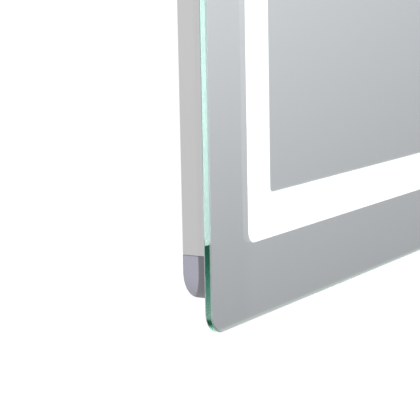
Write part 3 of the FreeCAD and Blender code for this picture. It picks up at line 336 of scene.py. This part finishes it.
def moulded_plastic(name, tint, roughness=0.5, texture=0.5, coat=0.0):
    """Moulded plastic: a fine etched texture and a faint cloud in its colour."""
    def build(graph):
        etch = graph.noise(graph.place(), 2600.0, 2.0)
        cloud = graph.noise(graph.place(), 45.0, 3.0)
        shade = graph.blend(cloud, rgba(tint, 0.965), rgba(tint, 1.035))
        return graph.surface(Base_Color=shade, Roughness=roughness + (etch - 0.5) * 0.16,
                             Coat_Weight=coat, IOR=1.5,
                             Normal=graph.bump(etch, 0.03 * MM, texture))
    return material(name, build)


def powder_coat(name, tint, roughness=0.42):
    """Powder coated sheet: orange peel relief over a nearly even colour."""
    def build(graph):
        peel = graph.noise(graph.place(), 520.0, 1.5)
        cloud = graph.noise(graph.place(), 7.0, 3.0)
        shade = graph.blend(cloud, rgba(tint, 0.97), rgba(tint, 1.02))
        return graph.surface(Base_Color=shade, Roughness=roughness + (peel - 0.5) * 0.1,
                             Normal=graph.bump(peel, 0.05 * MM, 0.5))
    return material(name, build)


def soft_rubber(name, tint):
    """Moulded rubber: dull, slightly sheened, with a fine bloom."""
    def build(graph):
        bloom = graph.noise(graph.place(), 900.0, 4.0)
        shade = graph.blend(bloom, rgba(tint, 0.85), rgba(tint, 1.15))
        return graph.surface(Base_Color=shade, Roughness=0.72 + (bloom - 0.5) * 0.2,
                             Sheen_Weight=0.15, Normal=graph.bump(bloom, 0.03 * MM, 0.5))
    return material(name, build)


def closed_foam(name, tint):
    """Foam tape: open cells along its edges."""
    def build(graph):
        cells = graph.cells(2200.0)
        shade = graph.blend(cells.clamped(), rgba(tint, 0.6), rgba(tint, 1.3))
        return graph.surface(Base_Color=shade, Roughness=0.9,
                             Normal=graph.bump(cells, 0.1 * MM, 0.7))
    return material(name, build)


def wear_material(names, made):
    """Put one material into every slot of each named node."""
    for name in names:
        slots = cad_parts[name].material_slots
        if not slots:
            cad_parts[name].data.materials.append(made)
        for slot in slots:
            slot.material = made


def housing():
    """The settings of the housing."""
    return bpy.context.scene.mirror_housing


# ------------------------------------------------------------------ shapes

def rounded_outline(half_width, low, high, radius, steps):
    """Points of a rectangle with rounded corners, anticlockwise seen from the room.

    At corner c, for c from 0 to 3, a goes from c - 1 to c quarter turns about its own centre:
    point = centre + radius * (cos a, sin a). Straight sides join the ends of the corners.
    """
    centres = np.array([(half_width - radius, low + radius), (half_width - radius, high - radius),
                        (radius - half_width, high - radius), (radius - half_width, low + radius)])
    angles = (np.arange(4)[:, None] - 1 + np.linspace(0, 1, steps + 1)[None, :]) * math.pi / 2
    ring = np.stack([np.cos(angles), np.sin(angles)], axis=-1) * radius
    return (centres[:, None, :] + ring).reshape(-1, 2)


def at_depth(outline, y):
    """An outline in the wall's X and Z, moved to one Y."""
    return np.column_stack([outline[:, 0], np.full(len(outline), y), outline[:, 1]])


def skin(rings):
    """A closed skin over rings of equal count: a face on the first, quads, a face on the last.

    The quad of ring k and point i is (k, i), (k + 1, i), (k + 1, i + 1), (k, i + 1).
    """
    count = len(rings[0])
    here = np.arange(count)
    after = (here + 1) % count
    faces = [here.tolist()]
    for k in range(len(rings) - 1):
        quads = np.column_stack([k * count + here, (k + 1) * count + here,
                                 (k + 1) * count + after, k * count + after])
        faces += quads.tolist()
    faces.append(((len(rings) - 1) * count + here[::-1]).tolist())
    return np.concatenate(rings), faces


def rounded_profile(corners, radii, steps=5):
    """A closed profile with rounded corners, for a convex or a hollow corner alike.

    With unit vectors a and b along the two sides of a corner and h half the angle between them,
    the arc's centre lies r / sin h along their bisector and its ends r / tan h along a and b.
    The arc is centre + (u sin((1 - t) w) + v sin(t w)) / sin w, from end u to end v, w = pi - 2 h.
    """
    corners, radii = np.array(corners, dtype=float), np.array(radii, dtype=float)[:, None]
    back, ahead = np.roll(corners, 1, axis=0) - corners, np.roll(corners, -1, axis=0) - corners
    back /= np.linalg.norm(back, axis=1, keepdims=True)
    ahead /= np.linalg.norm(ahead, axis=1, keepdims=True)
    half = np.arccos((back * ahead).sum(axis=1, keepdims=True)) / 2
    centre = corners + (back + ahead) / (2 * np.cos(half)) * radii / np.sin(half)
    start = corners + back * radii / np.tan(half) - centre
    end = corners + ahead * radii / np.tan(half) - centre
    turn, t = (math.pi - 2 * half)[:, :, None], np.linspace(0, 1, steps + 1)[None, :, None]
    arc = start[:, None] * np.sin((1 - t) * turn) + end[:, None] * np.sin(t * turn)
    return (centre[:, None] + arc / np.sin(turn)).reshape(-1, 2)


def shrunk(profile, amount):
    """A closed profile drawn in by an amount: each point moves along the bisector of its sides."""
    side = np.roll(profile, -1, axis=0) - profile
    normal = np.column_stack([-side[:, 1], side[:, 0]])
    normal /= np.linalg.norm(side, axis=1, keepdims=True)
    before = np.roll(normal, 1, axis=0)
    share = 1 + (normal * before).sum(axis=1, keepdims=True)
    return profile + (normal + before) / share * amount


def swept(profiles, path, inward):
    """Rings of a profile of (inward, depth) pairs along a path of the wall plane.

    Point j of ring i is path[i] + inward[i] * profiles[i][j, 0], at Y = -profiles[i][j, 1].
    """
    return [np.column_stack([point[0] + normal[0] * profile[:, 0], -profile[:, 1],
                             point[1] + normal[1] * profile[:, 0]])
            for profile, point, normal in zip(profiles, path, inward)]


def loose_centres(name):
    """Centres of the separate solids of a node: every vertex takes the lowest number it joins."""
    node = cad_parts[name]
    points = np.empty(len(node.data.vertices) * 3)
    node.data.vertices.foreach_get("co", points)
    points = points.reshape(-1, 3) @ np.array(node.matrix_world.to_3x3()).T
    points += np.array(node.matrix_world.translation)
    shared, same = np.unique(points.round(7), axis=0, return_inverse=True)
    ends = np.empty(len(node.data.edges) * 2, dtype=np.int64)
    node.data.edges.foreach_get("vertices", ends)
    ends = same.reshape(-1)[ends].reshape(-1, 2)
    label, last = np.arange(len(shared)), None
    while not np.array_equal(label, last):
        last = label.copy()
        lowest = label[ends].min(axis=1)
        np.minimum.at(label, ends[:, 0], lowest)
        np.minimum.at(label, ends[:, 1], lowest)
    return np.array([(shared[label == one].min(axis=0) + shared[label == one].max(axis=0)) / 2
                     for one in np.unique(label)])


def joined(parts):
    """Several shapes, each given as its points and faces, as one mesh."""
    starts = np.cumsum([0] + [len(points) for points, _ in parts]).tolist()
    faces = [[index + start for index in face]
             for start, (_, some) in zip(starts, parts) for face in some]
    return np.concatenate([points for points, _ in parts]), faces


def cross_screw(head, thick, shank, length, steps=48):
    """A pan head screw along Y whose head faces +Y, with a cross recess.

    Rings go from the middle of the head outwards, down its rounded rim and along the shank. With
    s = r / head, the top is thick * (1 - dish s^2) out to s = flat. The rim goes on from there
    with s = flat + (1 - flat) sin a and a height of thick * (rim_foot + rim_rise cos a). The
    recess is cut where the nearer arm of the cross, min(|x|, |z|), is under its half width and r
    is under its reach, and it gets shallower outwards.
    """
    flat, dish, rim_rise, rim_foot = 0.80, 0.22, 0.473, 0.35
    arm_half, arm_edge = head * 0.15, head * 0.045
    arm_reach, reach_edge = head * 0.60, head * 0.06
    recess, recess_rise, tip = 0.75, 0.45, 0.3
    share = np.linspace(0.02, flat, 22)
    rim = np.linspace(0, math.pi / 2, 7)[1:]
    radius = np.concatenate([share, flat + (1 - flat) * np.sin(rim), [1.0]]) * head
    height = np.concatenate([1 - dish * share ** 2, rim_rise * np.cos(rim) + rim_foot, [0.0]])
    turns = np.linspace(0, 2 * math.pi, steps, endpoint=False)
    x, z = radius[:, None] * np.cos(turns), radius[:, None] * np.sin(turns)
    near = np.minimum(abs(x), abs(z))
    arm = np.clip((arm_half - near) / arm_edge + 0.5, 0, 1)
    arm *= np.clip((arm_reach - radius[:, None]) / reach_edge + 0.5, 0, 1)
    y = height[:, None] * thick - arm * thick * (recess - recess_rise * radius[:, None] / head)
    top = [np.column_stack([x[k], y[k], z[k]]) for k in range(len(radius))]
    low = [np.column_stack([r * np.cos(turns), np.full(steps, h), r * np.sin(turns)])
           for r, h in ((shank, 0.0), (shank, shank - length), (tip * shank, -length))]
    points, faces = skin(top + low)
    return points, [face[::-1] for face in faces]


def new_piece(name, points, faces, materials, body, smooth=30.0):
    """A mesh object at the origin that rides on a body, smooth below an angle in degrees."""
    mesh = bpy.data.meshes.new(name)
    mesh.from_pydata(np.asarray(points, dtype=float).tolist(), [], faces)
    for made in materials:
        mesh.materials.append(made)
    mesh.shade_smooth()
    mesh.set_sharp_from_angle(angle=math.radians(smooth))
    mesh.update()
    piece = bpy.data.objects.new(name, mesh)
    bpy.context.scene.collection.objects.link(piece)
    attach(piece, body)
    return piece


# ------------------------------------------------------------------ pane

def glass_body():
    """Clear float glass: refracting, with a green body colour that shows along long paths.

    The cut edges carry the attribute "cut": their sheen is tinted, and a painted shade darkens
    them on the way down to the lower end of the light band, between 151 and 29 mm above the
    pane's foot. The level front bevels carry the attribute "ground": seen from inside the glass
    they are dull black with a painted glow for the light of the band that they scatter. The
    upright ones carry the attribute "satin": they are satin as seen from outside. The corners
    carry both.
    """
    pane = bpy.context.scene.mirror_pane
    white = (1.0, 1.0, 1.0, 1.0)
    dims_from, dims_to = PANE_FOOT + 151 * MM, PANE_FOOT + 46 * MM
    clears_from, clears_to = PANE_FOOT + 49 * MM, PANE_FOOT + 29 * MM
    satin_share = 0.65

    def refracting(graph, tint, sheen):
        return graph.surface(Base_Color=tint, Roughness=0.0, IOR=GLASS_IOR,
                             Transmission_Weight=1.0, Specular_Tint=sheen)

    def build(graph):
        _, _, z = graph.axes(graph.place())
        # Painted shade on the cut edges: darkest 46 to 49 mm above the pane's foot, gone at 151
        # and 29 mm.
        dim = z.step(dims_from, dims_to) * (1.0 - z.step(clears_from, clears_to))
        edge_colour = graph.blend(dim, white, rgba(pane.edge_painted_shade))
        clear = graph.layered(graph.attribute("cut"), refracting(graph, white, white),
                              refracting(graph, edge_colour, rgba(pane.edge_tint)))
        inside = graph.node("ShaderNodeNewGeometry")["Backfacing"]
        # Painted glow: seen from inside, the level front bevels are dull black and emit light.
        matt = graph.layered(graph.attribute("ground") * inside, clear, bevel_painted_glow(graph))
        bevel = graph.surface(Base_Color=rgba(pane.bevel), Roughness=0.5)
        outside = (1.0 - inside) * satin_share
        surface = graph.layered(graph.attribute("satin") * outside, matt, bevel)
        volume = graph.node("ShaderNodeVolumeAbsorption",
                            inputs={"Color": rgba(pane.absorb), "Density": pane.absorb_density})
        return surface, volume[0]
    return material("float_glass", build)


def bevel_painted_glow(graph):
    """A bevel ground to a fine matt: dull black, with a painted glow of the band's light."""
    pane = bpy.context.scene.mirror_pane
    return graph.surface(Base_Color=(0.0, 0.0, 0.0, 1.0), Roughness=0.9, Specular_IOR_Level=0.0,
                         Emission_Color=(0.94, 1.0, 0.97, 1.0), Emission_Strength=pane.painted_bevel_glow)


def silver_coat():
    """Silver through the glass. A painted shade darkens its margin outside the band lower down."""
    pane = bpy.context.scene.mirror_pane
    margin_painted_shade = 0.965

    def build(graph):
        x, _, z = graph.axes(graph.place())
        margin = x.maths("ABSOLUTE").step(PANE_SIDE - 60 * MM, PANE_SIDE - 40 * MM)
        # Painted shade: the margin up to 3.5 % darker from 236 mm above the pane's foot down to 16
        # mm.
        lower = z.step(PANE_FOOT + 236 * MM, PANE_FOOT + 16 * MM)
        shade = graph.blend(margin * lower, rgba(pane.silver), rgba(pane.silver, margin_painted_shade))
        return graph.surface(Base_Color=shade, Metallic=1.0, Roughness=0.0)
    return material("silver_coat", build)


def lit_frost():
    """Frosted, evenly lit film. It is a little dimmer between the diodes than over them."""
    pane = bpy.context.scene.mirror_pane
    diode_pitch = 34 * MM

    def build(graph):
        x, _, z = graph.axes(graph.place())
        ripple = ((x + z) * (2 * math.pi / diode_pitch)).maths("COSINE") * 0.5 + 0.5
        lamp = graph.blend(ripple, (0.95, 0.96, 0.97, 1.0), (1.0, 1.0, 1.0, 1.0))
        return graph.surface(Base_Color=(0.25, 0.25, 0.25, 1.0), Roughness=0.6,
                             Emission_Color=lamp, Emission_Strength=pane.glow)
    return material("lit_frost", build)


class MIRROR_OT_pane(bpy.types.Operator):
    """Make the pane as one closed slab with its silver and the lit band on its back"""

    bl_idname = "mirror.pane"
    bl_label = "Pane"

    def execute(self, context):
        pane = context.scene.mirror_pane
        low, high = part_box("mirror_glass")
        band_low, band_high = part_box("light_band")
        steps = pane.corner_steps
        front, back = low.y, high.y - pane.back_gap

        def pane_ring(inset, y):
            outline = rounded_outline(high.x - inset, low.z + inset, high.z - inset,
                                      pane.corner - inset, steps)
            return at_depth(outline, y)

        def band_ring(inset, radius):
            outline = rounded_outline(band_high.x - inset, band_low.z + inset,
                                      band_high.z - inset, radius, steps)
            return at_depth(outline, back)

        rings = [
            pane_ring(pane.arris, front), pane_ring(0.0, front + pane.arris),
            pane_ring(0.0, back - pane.arris), pane_ring(pane.arris, back),
            band_ring(0.0, pane.band_outer), band_ring(pane.band_width, pane.band_inner),
        ]
        points, faces = skin(rings)
        finishes = [glass_body(), silver_coat(), lit_frost(), material("ground_bevel_painted_glow", bevel_painted_glow)]
        slab = new_piece("pane_slab", points, faces, finishes, "mirror", 20.0)
        glass, silver, frost, ground = range(len(finishes))
        # The first face is the front, then come five bands of quads. The last is the inner field.
        band_of = (np.arange(len(faces)) - 1) // len(rings[0])
        front_bevel, cut_edge, back_bevel, margin, band = (band_of == k for k in range(5))
        # |Z| of a bevel's normal is 0 on an upright side and 0.71 on a level one.
        tilt = np.array([abs(face.normal.z) for face in slab.data.polygons])
        level, upright = tilt > 0.28, tilt < 0.66
        index = np.full(len(faces), glass, dtype=np.int32)
        index[margin] = silver
        index[band] = frost
        # The level back bevels take the ground bevel material, with its painted glow.
        index[level & back_bevel] = ground
        index[-1] = silver
        slab.data.polygons.foreach_set("material_index", index)
        for name, chosen in (("cut", cut_edge), ("ground", level & front_bevel),
                             ("satin", upright & front_bevel)):
            values = slab.data.attributes.new(name, "FLOAT", "FACE")
            values.data.foreach_set("value", chosen.astype(np.float32))
        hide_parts("mirror_glass")
        return {"FINISHED"}


class MIRROR_OT_coats(bpy.types.Operator):
    """Finish the silver's backing paint and the back of the diffusing film"""

    bl_idname = "mirror.coats"
    bl_label = "Silver and film"

    def execute(self, context):
        wear_material(["silver_backing"], powder_coat("backing_paint", housing().paint, 0.5))
        wear_material(["light_band"],
                      moulded_plastic("diffusing_film", (0.88, 0.88, 0.88), 0.6, 0.2))
        return {"FINISHED"}


# ------------------------------------------------------------------ housing

class MIRROR_OT_side_strips(bpy.types.Operator):
    """Finish the four side strips in satin metal, with the grain along each strip"""

    bl_idname = "mirror.side_strips"
    bl_label = "Side strips"

    def execute(self, context):
        wear_material(["side_strip_left", "side_strip_right"],
                      satin_metal("satin_strip_upright", housing().strip, Z_AXIS))
        wear_material(["side_strip_top", "side_strip_bottom"],
                      satin_metal("satin_strip_level", housing().strip, X_AXIS))
        return {"FINISHED"}


def cap_rings(low_y, high_y):
    """Rings of a corner cap whose corner stands at (0, 0) and whose legs run along +X and +Z.

    A channel section, open inwards, is carried down one leg, round the quarter turn
    corner * (1 - cos a, 1 - sin a), and along the other leg. Both ends have a small bevel.
    """
    case = housing()
    front, back, wall, reach = -low_y, -high_y, case.wall, case.flange_reach
    seat = back + case.panel_front
    inner_back, inner_front = seat + case.flange, front - case.flange
    corners = ((0, back), (wall, back), (wall, seat), (reach, seat), (reach, inner_back),
               (wall, inner_back), (wall, inner_front), (reach, inner_front), (reach, front),
               (0, front))
    outer_back, outer_front, inner_rim, other = 1.6 * MM, 0.35 * MM, 0.2 * MM, 0.15 * MM
    radii = (outer_back, inner_rim, *[other] * 7, outer_front)
    profile = rounded_profile(corners, radii)
    bevel = 0.3 * MM
    end = shrunk(profile, bevel * 0.6)
    turns = np.linspace(0, math.pi / 2, 33)[:, None]
    turned = np.hstack([np.cos(turns), np.sin(turns)])
    path = np.concatenate([[(0, case.leg), (0, case.leg - bevel)], case.corner * (1 - turned),
                           [(case.leg - bevel, 0), (case.leg, 0)]])
    inward = np.concatenate([[(1, 0)] * 2, turned, [(0, 1)] * 2])
    return swept([end] + [profile] * (len(path) - 2) + [end], path, inward)


def tongue_rings(low_y, high_y, swap):
    """Rings of the tongue at the end of one leg of a corner cap.

    A rounded bar runs out of the leg along +X, or along +Z where it is swapped. Beyond the leg it
    stands clear of the side strip's wall, and its end is bevelled.
    """
    case = housing()
    back, front, thick = -high_y + 4 * MM, -low_y - case.flange * 2, 3.7 * MM
    sunk, clear = 0.9 * case.wall, 1.1 * case.wall
    overlap, end_bevel, end_shrink = 9 * MM, 0.4 * MM, 0.3 * MM
    corners = ((sunk, back), (thick, back), (thick, front), (sunk, front))
    root = rounded_profile(corners, [0.2 * MM] * 4)
    tip = np.maximum(root, [clear, 0])
    end = case.leg + case.tongue
    along = np.array([case.leg - overlap, case.leg, case.leg, end - end_bevel, end])
    profiles = [root, root, tip, tip, shrunk(tip, end_shrink)]
    path = np.column_stack([along, along * 0])
    inward = np.array([(0, 1)] * 5)
    if swap:
        path, inward = path[::-1, ::-1], inward[::-1, ::-1]
        profiles = profiles[::-1]
    return swept(profiles, path, inward)


class MIRROR_OT_corner_caps(bpy.types.Operator):
    """Make the four moulded corner caps: a swept channel with a tongue at each end"""

    bl_idname = "mirror.corner_caps"
    bl_label = "Corner caps"

    def execute(self, context):
        finish = moulded_plastic("cap_moulding", housing().cap, 0.55, 0.5)
        for corner in CORNERS:
            node = f"corner_cap_{corner}"
            low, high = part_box(node)
            left, bottom = "left" in corner, "bottom" in corner
            points, faces = joined([skin(rings) for rings in (
                cap_rings(low.y, high.y), tongue_rings(low.y, high.y, False),
                tongue_rings(low.y, high.y, True))])
            flip = (1 if left else -1), 1, (1 if bottom else -1)
            start = (low.x if left else high.x), 0, (low.z if bottom else high.z)
            points = points * flip + start
            if left == bottom:
                faces = [face[::-1] for face in faces]
            piece = new_piece(f"cap_{corner}", points, faces, [finish], "mirror")
            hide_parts(node)
        return {"FINISHED"}


class MIRROR_OT_back(bpy.types.Operator):
    """Finish the back panel, its fasteners and the hanging hardware"""

    bl_idname = "mirror.back"
    bl_label = "Back panel and hanging"

    def execute(self, context):
        wear_material(["back_panel"], powder_coat("panel_coat", housing().panel))
        plated = plated_metal("plated_screws", housing().zinc, 0.28)
        head_radius, head_height, shank_radius, shank_length = 3 * MM, 1.4 * MM, 1.5 * MM, 6 * MM
        screw, faces = cross_screw(head_radius, head_height, shank_radius, shank_length)
        for node in ("panel_screws", "hanging_screws", "driver_screws"):
            _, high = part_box(node)
            centres = loose_centres(node)
            centres[:, 1] = high.y - head_height
            screws = joined([(screw + centre, faces) for centre in centres])
            piece = new_piece(f"{node}_cross", *screws, [plated], "mirror", 40.0)
            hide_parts(node)
        wear_material(["wall_hooks", "hanging_plates"],
                      plated_metal("plated_sheet", housing().zinc, 0.34))
        wear_material(["box_rivets"], plated_metal("rivets", (0.74, 0.75, 0.76), 0.25))
        wear_material(["wall_bumpers"], soft_rubber("bumper_rubber", (0.70, 0.70, 0.68)))
        return {"FINISHED"}


class MIRROR_OT_light_engine(bpy.types.Operator):
    """Finish the channels, the light strips with their diodes, the wiring and the tapes"""

    bl_idname = "mirror.light_engine"
    bl_label = "Light engine"

    def execute(self, context):
        bright = (0.80, 0.81, 0.82)
        wear_material(["light_channel_left", "light_channel_right"],
                      satin_metal("channel_upright", bright, Z_AXIS, 0.3))
        wear_material(["light_channel_top", "light_channel_bottom"],
                      satin_metal("channel_level", bright, X_AXIS, 0.3))
        wear_material([f"light_strip_{side}" for side in SIDES],
                      moulded_plastic("strip_board", (0.86, 0.86, 0.83), 0.45, 0.2))
        wear_material([f"light_diodes_{side}" for side in SIDES],
                      moulded_plastic("diode_lens", (0.92, 0.84, 0.48), 0.25, 0.1, 0.5))
        wear_material(["strip_connector"], moulded_plastic("connector", housing().white, 0.4, 0.3))
        wear_material(["strip_jumpers"],
                      moulded_plastic("jumper_jacket", (0.55, 0.05, 0.04), 0.4, 0.2))
        wear_material(["housing_tape", "channel_tape"],
                      closed_foam("foam_tape", (0.10, 0.10, 0.105)))
        return {"FINISHED"}


class MIRROR_OT_driver(bpy.types.Operator):
    """Finish the driver's case, board and components"""

    bl_idname = "mirror.driver"
    bl_label = "Driver"

    def execute(self, context):
        wear_material(["driver_case", "driver_lid"],
                      powder_coat("driver_enamel", (0.84, 0.84, 0.83)))
        wear_material(["driver_board", "sensor_board"],
                      moulded_plastic("board_mask", (0.02, 0.16, 0.07), 0.35, 0.3, 0.3))
        wear_material(["driver_transformer"],
                      moulded_plastic("coil_body", (0.05, 0.045, 0.04), 0.5))
        wear_material(["driver_capacitors"],
                      moulded_plastic("sleeve", (0.03, 0.04, 0.09), 0.25, 0.1))
        return {"FINISHED"}


class MIRROR_OT_connection_box(bpy.types.Operator):
    """Finish the connection box with its lid, grommet and terminals"""

    bl_idname = "mirror.connection_box"
    bl_label = "Connection box"

    def execute(self, context):
        wear_material(["connection_box", "connection_box_lid"],
                      moulded_plastic("box_moulding", housing().white, 0.42, 0.5))
        wear_material(["cable_grommet"], soft_rubber("grommet_rubber", (0.025, 0.025, 0.026)))
        wear_material(["terminal_block"],
                      moulded_plastic("terminal_body", (0.85, 0.85, 0.80), 0.4))
        wear_material(["terminal_screws"], plated_metal("terminal_brass", (0.70, 0.52, 0.24), 0.3))
        return {"FINISHED"}


class MIRROR_OT_behind_pane(bpy.types.Operator):
    """Finish the demister pad, the touch sensor, the leads and their mounts"""

    bl_idname = "mirror.behind_pane"
    bl_label = "Demister, sensor and leads"

    def execute(self, context):
        wear_material(["demister_pad"],
                      moulded_plastic("heating_film", (0.55, 0.28, 0.07), 0.3, 0.2))
        wear_material(["sensor_cover"],
                      moulded_plastic("sensor_moulding", (0.03, 0.03, 0.033), 0.45))
        wear_material(["mains_lead", "light_lead", "demister_lead", "sensor_lead"],
                      moulded_plastic("lead_jacket", housing().white, 0.45, 0.4))
        wear_material(["cable_mounts"], moulded_plastic("mount_nylon", (0.84, 0.84, 0.82), 0.4))
        return {"FINISHED"}


# ------------------------------------------------------------------ stage

def studio_world():
    """White behind the mirror, and in front of it a soft grey that darkens towards the floor.

    A direction has a length of 1, and its y runs from -1 in front of the mirror to 1 behind it.
    The grey is lighter straight ahead than to the sides. Behind, the lower left is shaded.
    """
    world = bpy.data.worlds.new("studio")
    world.use_nodes = True
    graph = Graph(world.node_tree)
    x, y, z = graph.axes(graph.node("ShaderNodeTexCoord")["Generated"])
    horizon, dusk, darkest, sky_rise = 0.705, 1.11, 0.30, 0.25
    below = (z.maths("MINIMUM", 0.0) * dusk + horizon).clamped(darkest)
    above = z.maths("MAXIMUM", 0.0) * sky_rise
    room = (below + above) * (0.45 - y.clamped(-0.6, -0.3))
    front = graph.grey(room, (1.035, 1.01, 1.065))
    white, shadow = 1.04, 0.7
    left = x.step(0.1, -0.3)
    rear = graph.grey(z.maths("MINIMUM", 0.0) * left * shadow + white)
    shade = graph.blend(y.step(-0.12, 0.16), front, rear)
    light = graph.node("ShaderNodeBackground", inputs={"Color": shade, "Strength": 1.0})[0]
    graph.node("ShaderNodeOutputWorld", inputs={"Surface": light})
    bpy.context.scene.world = world


def studio_floor():
    """A round pale floor that fades out towards its rim."""
    stage = bpy.context.scene.mirror_stage
    steps = 96
    turns = np.linspace(0, 2 * math.pi, steps, endpoint=False)
    rim = np.column_stack([np.cos(turns), np.sin(turns), turns * 0]) * stage.floor_radius
    rim[:, 2] = -stage.floor_drop
    mesh = bpy.data.meshes.new("floor")
    mesh.from_pydata(rim.tolist(), [], [list(range(steps))])
    floor = bpy.data.objects.new("floor", mesh)
    bpy.context.scene.collection.objects.link(floor)

    def build(graph):
        x, y, _ = graph.axes(graph.place())
        reach = (x * x + y * y) ** 0.5 / stage.floor_radius
        grain = graph.noise(graph.place(), 60.0, 3.0)
        shade = graph.blend(grain, rgba(stage.floor, 0.99), rgba(stage.floor))
        return graph.surface(Base_Color=shade, Roughness=0.8, Alpha=1.0 - reach.step(0.35, 0.98))
    mesh.materials.append(material("pale_floor", build))


def key_light():
    """A level sun to the left of the pane's normal."""
    stage = bpy.context.scene.mirror_stage
    sun = bpy.data.lights.new("key", "SUN")
    sun.energy = stage.key
    sun.angle = stage.key_spread
    sun.color = stage.key_tint
    holder = bpy.data.objects.new("key", sun)
    turn = stage.key_turn
    towards = np.array([-math.sin(turn), -math.cos(turn), 0.0])
    holder.matrix_world = looking(towards * 3, towards)
    bpy.context.scene.collection.objects.link(holder)


def looking(place, back, roll=0.0):
    """A matrix at a place whose local Z points back, turned by a roll about it."""
    back = back / np.linalg.norm(back)
    right = np.cross([0.0, 0.0, 1.0], back)
    right /= np.linalg.norm(right)
    up = np.cross(back, right)
    turned = right * math.cos(roll) + up * math.sin(roll)
    raised = up * math.cos(roll) - right * math.sin(roll)
    made = np.eye(4)
    made[:3, 0], made[:3, 1], made[:3, 2], made[:3, 3] = turned, raised, back, place
    return Matrix(made.tolist())


def studio_camera():
    """The camera at the photograph's viewing angle: yaw, pitch and roll in degrees."""
    stage = bpy.context.scene.mirror_stage
    place = np.array([-1.0168, -0.4730, -0.4286])
    yaw, pitch, roll = (math.radians(degrees) for degrees in (31.48, 8.653, -1.14))
    ahead = np.array([math.cos(yaw) * math.cos(pitch), math.sin(yaw) * math.cos(pitch),
                      -math.sin(pitch)])
    data = bpy.data.cameras.new("camera")
    data.lens = stage.focal
    data.sensor_width = 36.0
    data.clip_start, data.clip_end = 0.05, 100.0
    camera = bpy.data.objects.new("camera", data)
    camera.matrix_world = looking(place, -ahead, roll)
    bpy.context.scene.collection.objects.link(camera)
    bpy.context.scene.camera = camera


class MIRROR_OT_stage(bpy.types.Operator):
    """Set the studio light, the floor, the camera and the depth of the light paths"""

    bl_idname = "mirror.stage"
    bl_label = "Stage"

    def execute(self, context):
        studio_world()
        studio_floor()
        key_light()
        studio_camera()
        context.scene.view_settings.view_transform = "Standard"
        cycles, bounces_in_glass = context.scene.cycles, 96
        cycles.max_bounces = bounces_in_glass
        cycles.glossy_bounces = bounces_in_glass
        cycles.transmission_bounces = bounces_in_glass
        cycles.diffuse_bounces = 4
        return {"FINISHED"}


class MIRROR_PT_panel(bpy.types.Panel):
    """The mirror's steps and settings in the sidebar"""

    bl_idname = "MIRROR_PT_panel"
    bl_label = "Lighted mirror"
    bl_space_type = "VIEW_3D"
    bl_region_type = "UI"
    bl_category = "Mirror"

    def draw(self, context):
        for step in STEPS:
            self.layout.operator(step.bl_idname)
        for group in SETTINGS:
            settings = getattr(context.scene, group)
            for key in settings.__annotations__:
                self.layout.prop(settings, key)


STEPS = (
    MIRROR_OT_stage, MIRROR_OT_pane, MIRROR_OT_coats, MIRROR_OT_side_strips,
    MIRROR_OT_corner_caps, MIRROR_OT_back, MIRROR_OT_light_engine, MIRROR_OT_driver,
    MIRROR_OT_connection_box, MIRROR_OT_behind_pane,
)
SETTINGS = {
    "mirror_pane": PaneSettings, "mirror_housing": HousingSettings, "mirror_stage": StageSettings,
}


def register():
    """Register the settings, the steps and the panel, and give the scene its settings."""
    for made in (*SETTINGS.values(), *STEPS, MIRROR_PT_panel):
        bpy.utils.register_class(made)
    for name, group in SETTINGS.items():
        setattr(bpy.types.Scene, name, PointerProperty(type=group))


def unregister():
    """Undo what register does, in the reverse order."""
    for name in SETTINGS:
        delattr(bpy.types.Scene, name)
    for made in (MIRROR_PT_panel, *reversed(STEPS), *SETTINGS.values()):
        bpy.utils.unregister_class(made)


def main():
    """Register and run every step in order."""
    register()
    for step in STEPS:
        family, name = step.bl_idname.split(".")
        getattr(getattr(bpy.ops, family), name)()


if __name__ == "__main__":
    main()
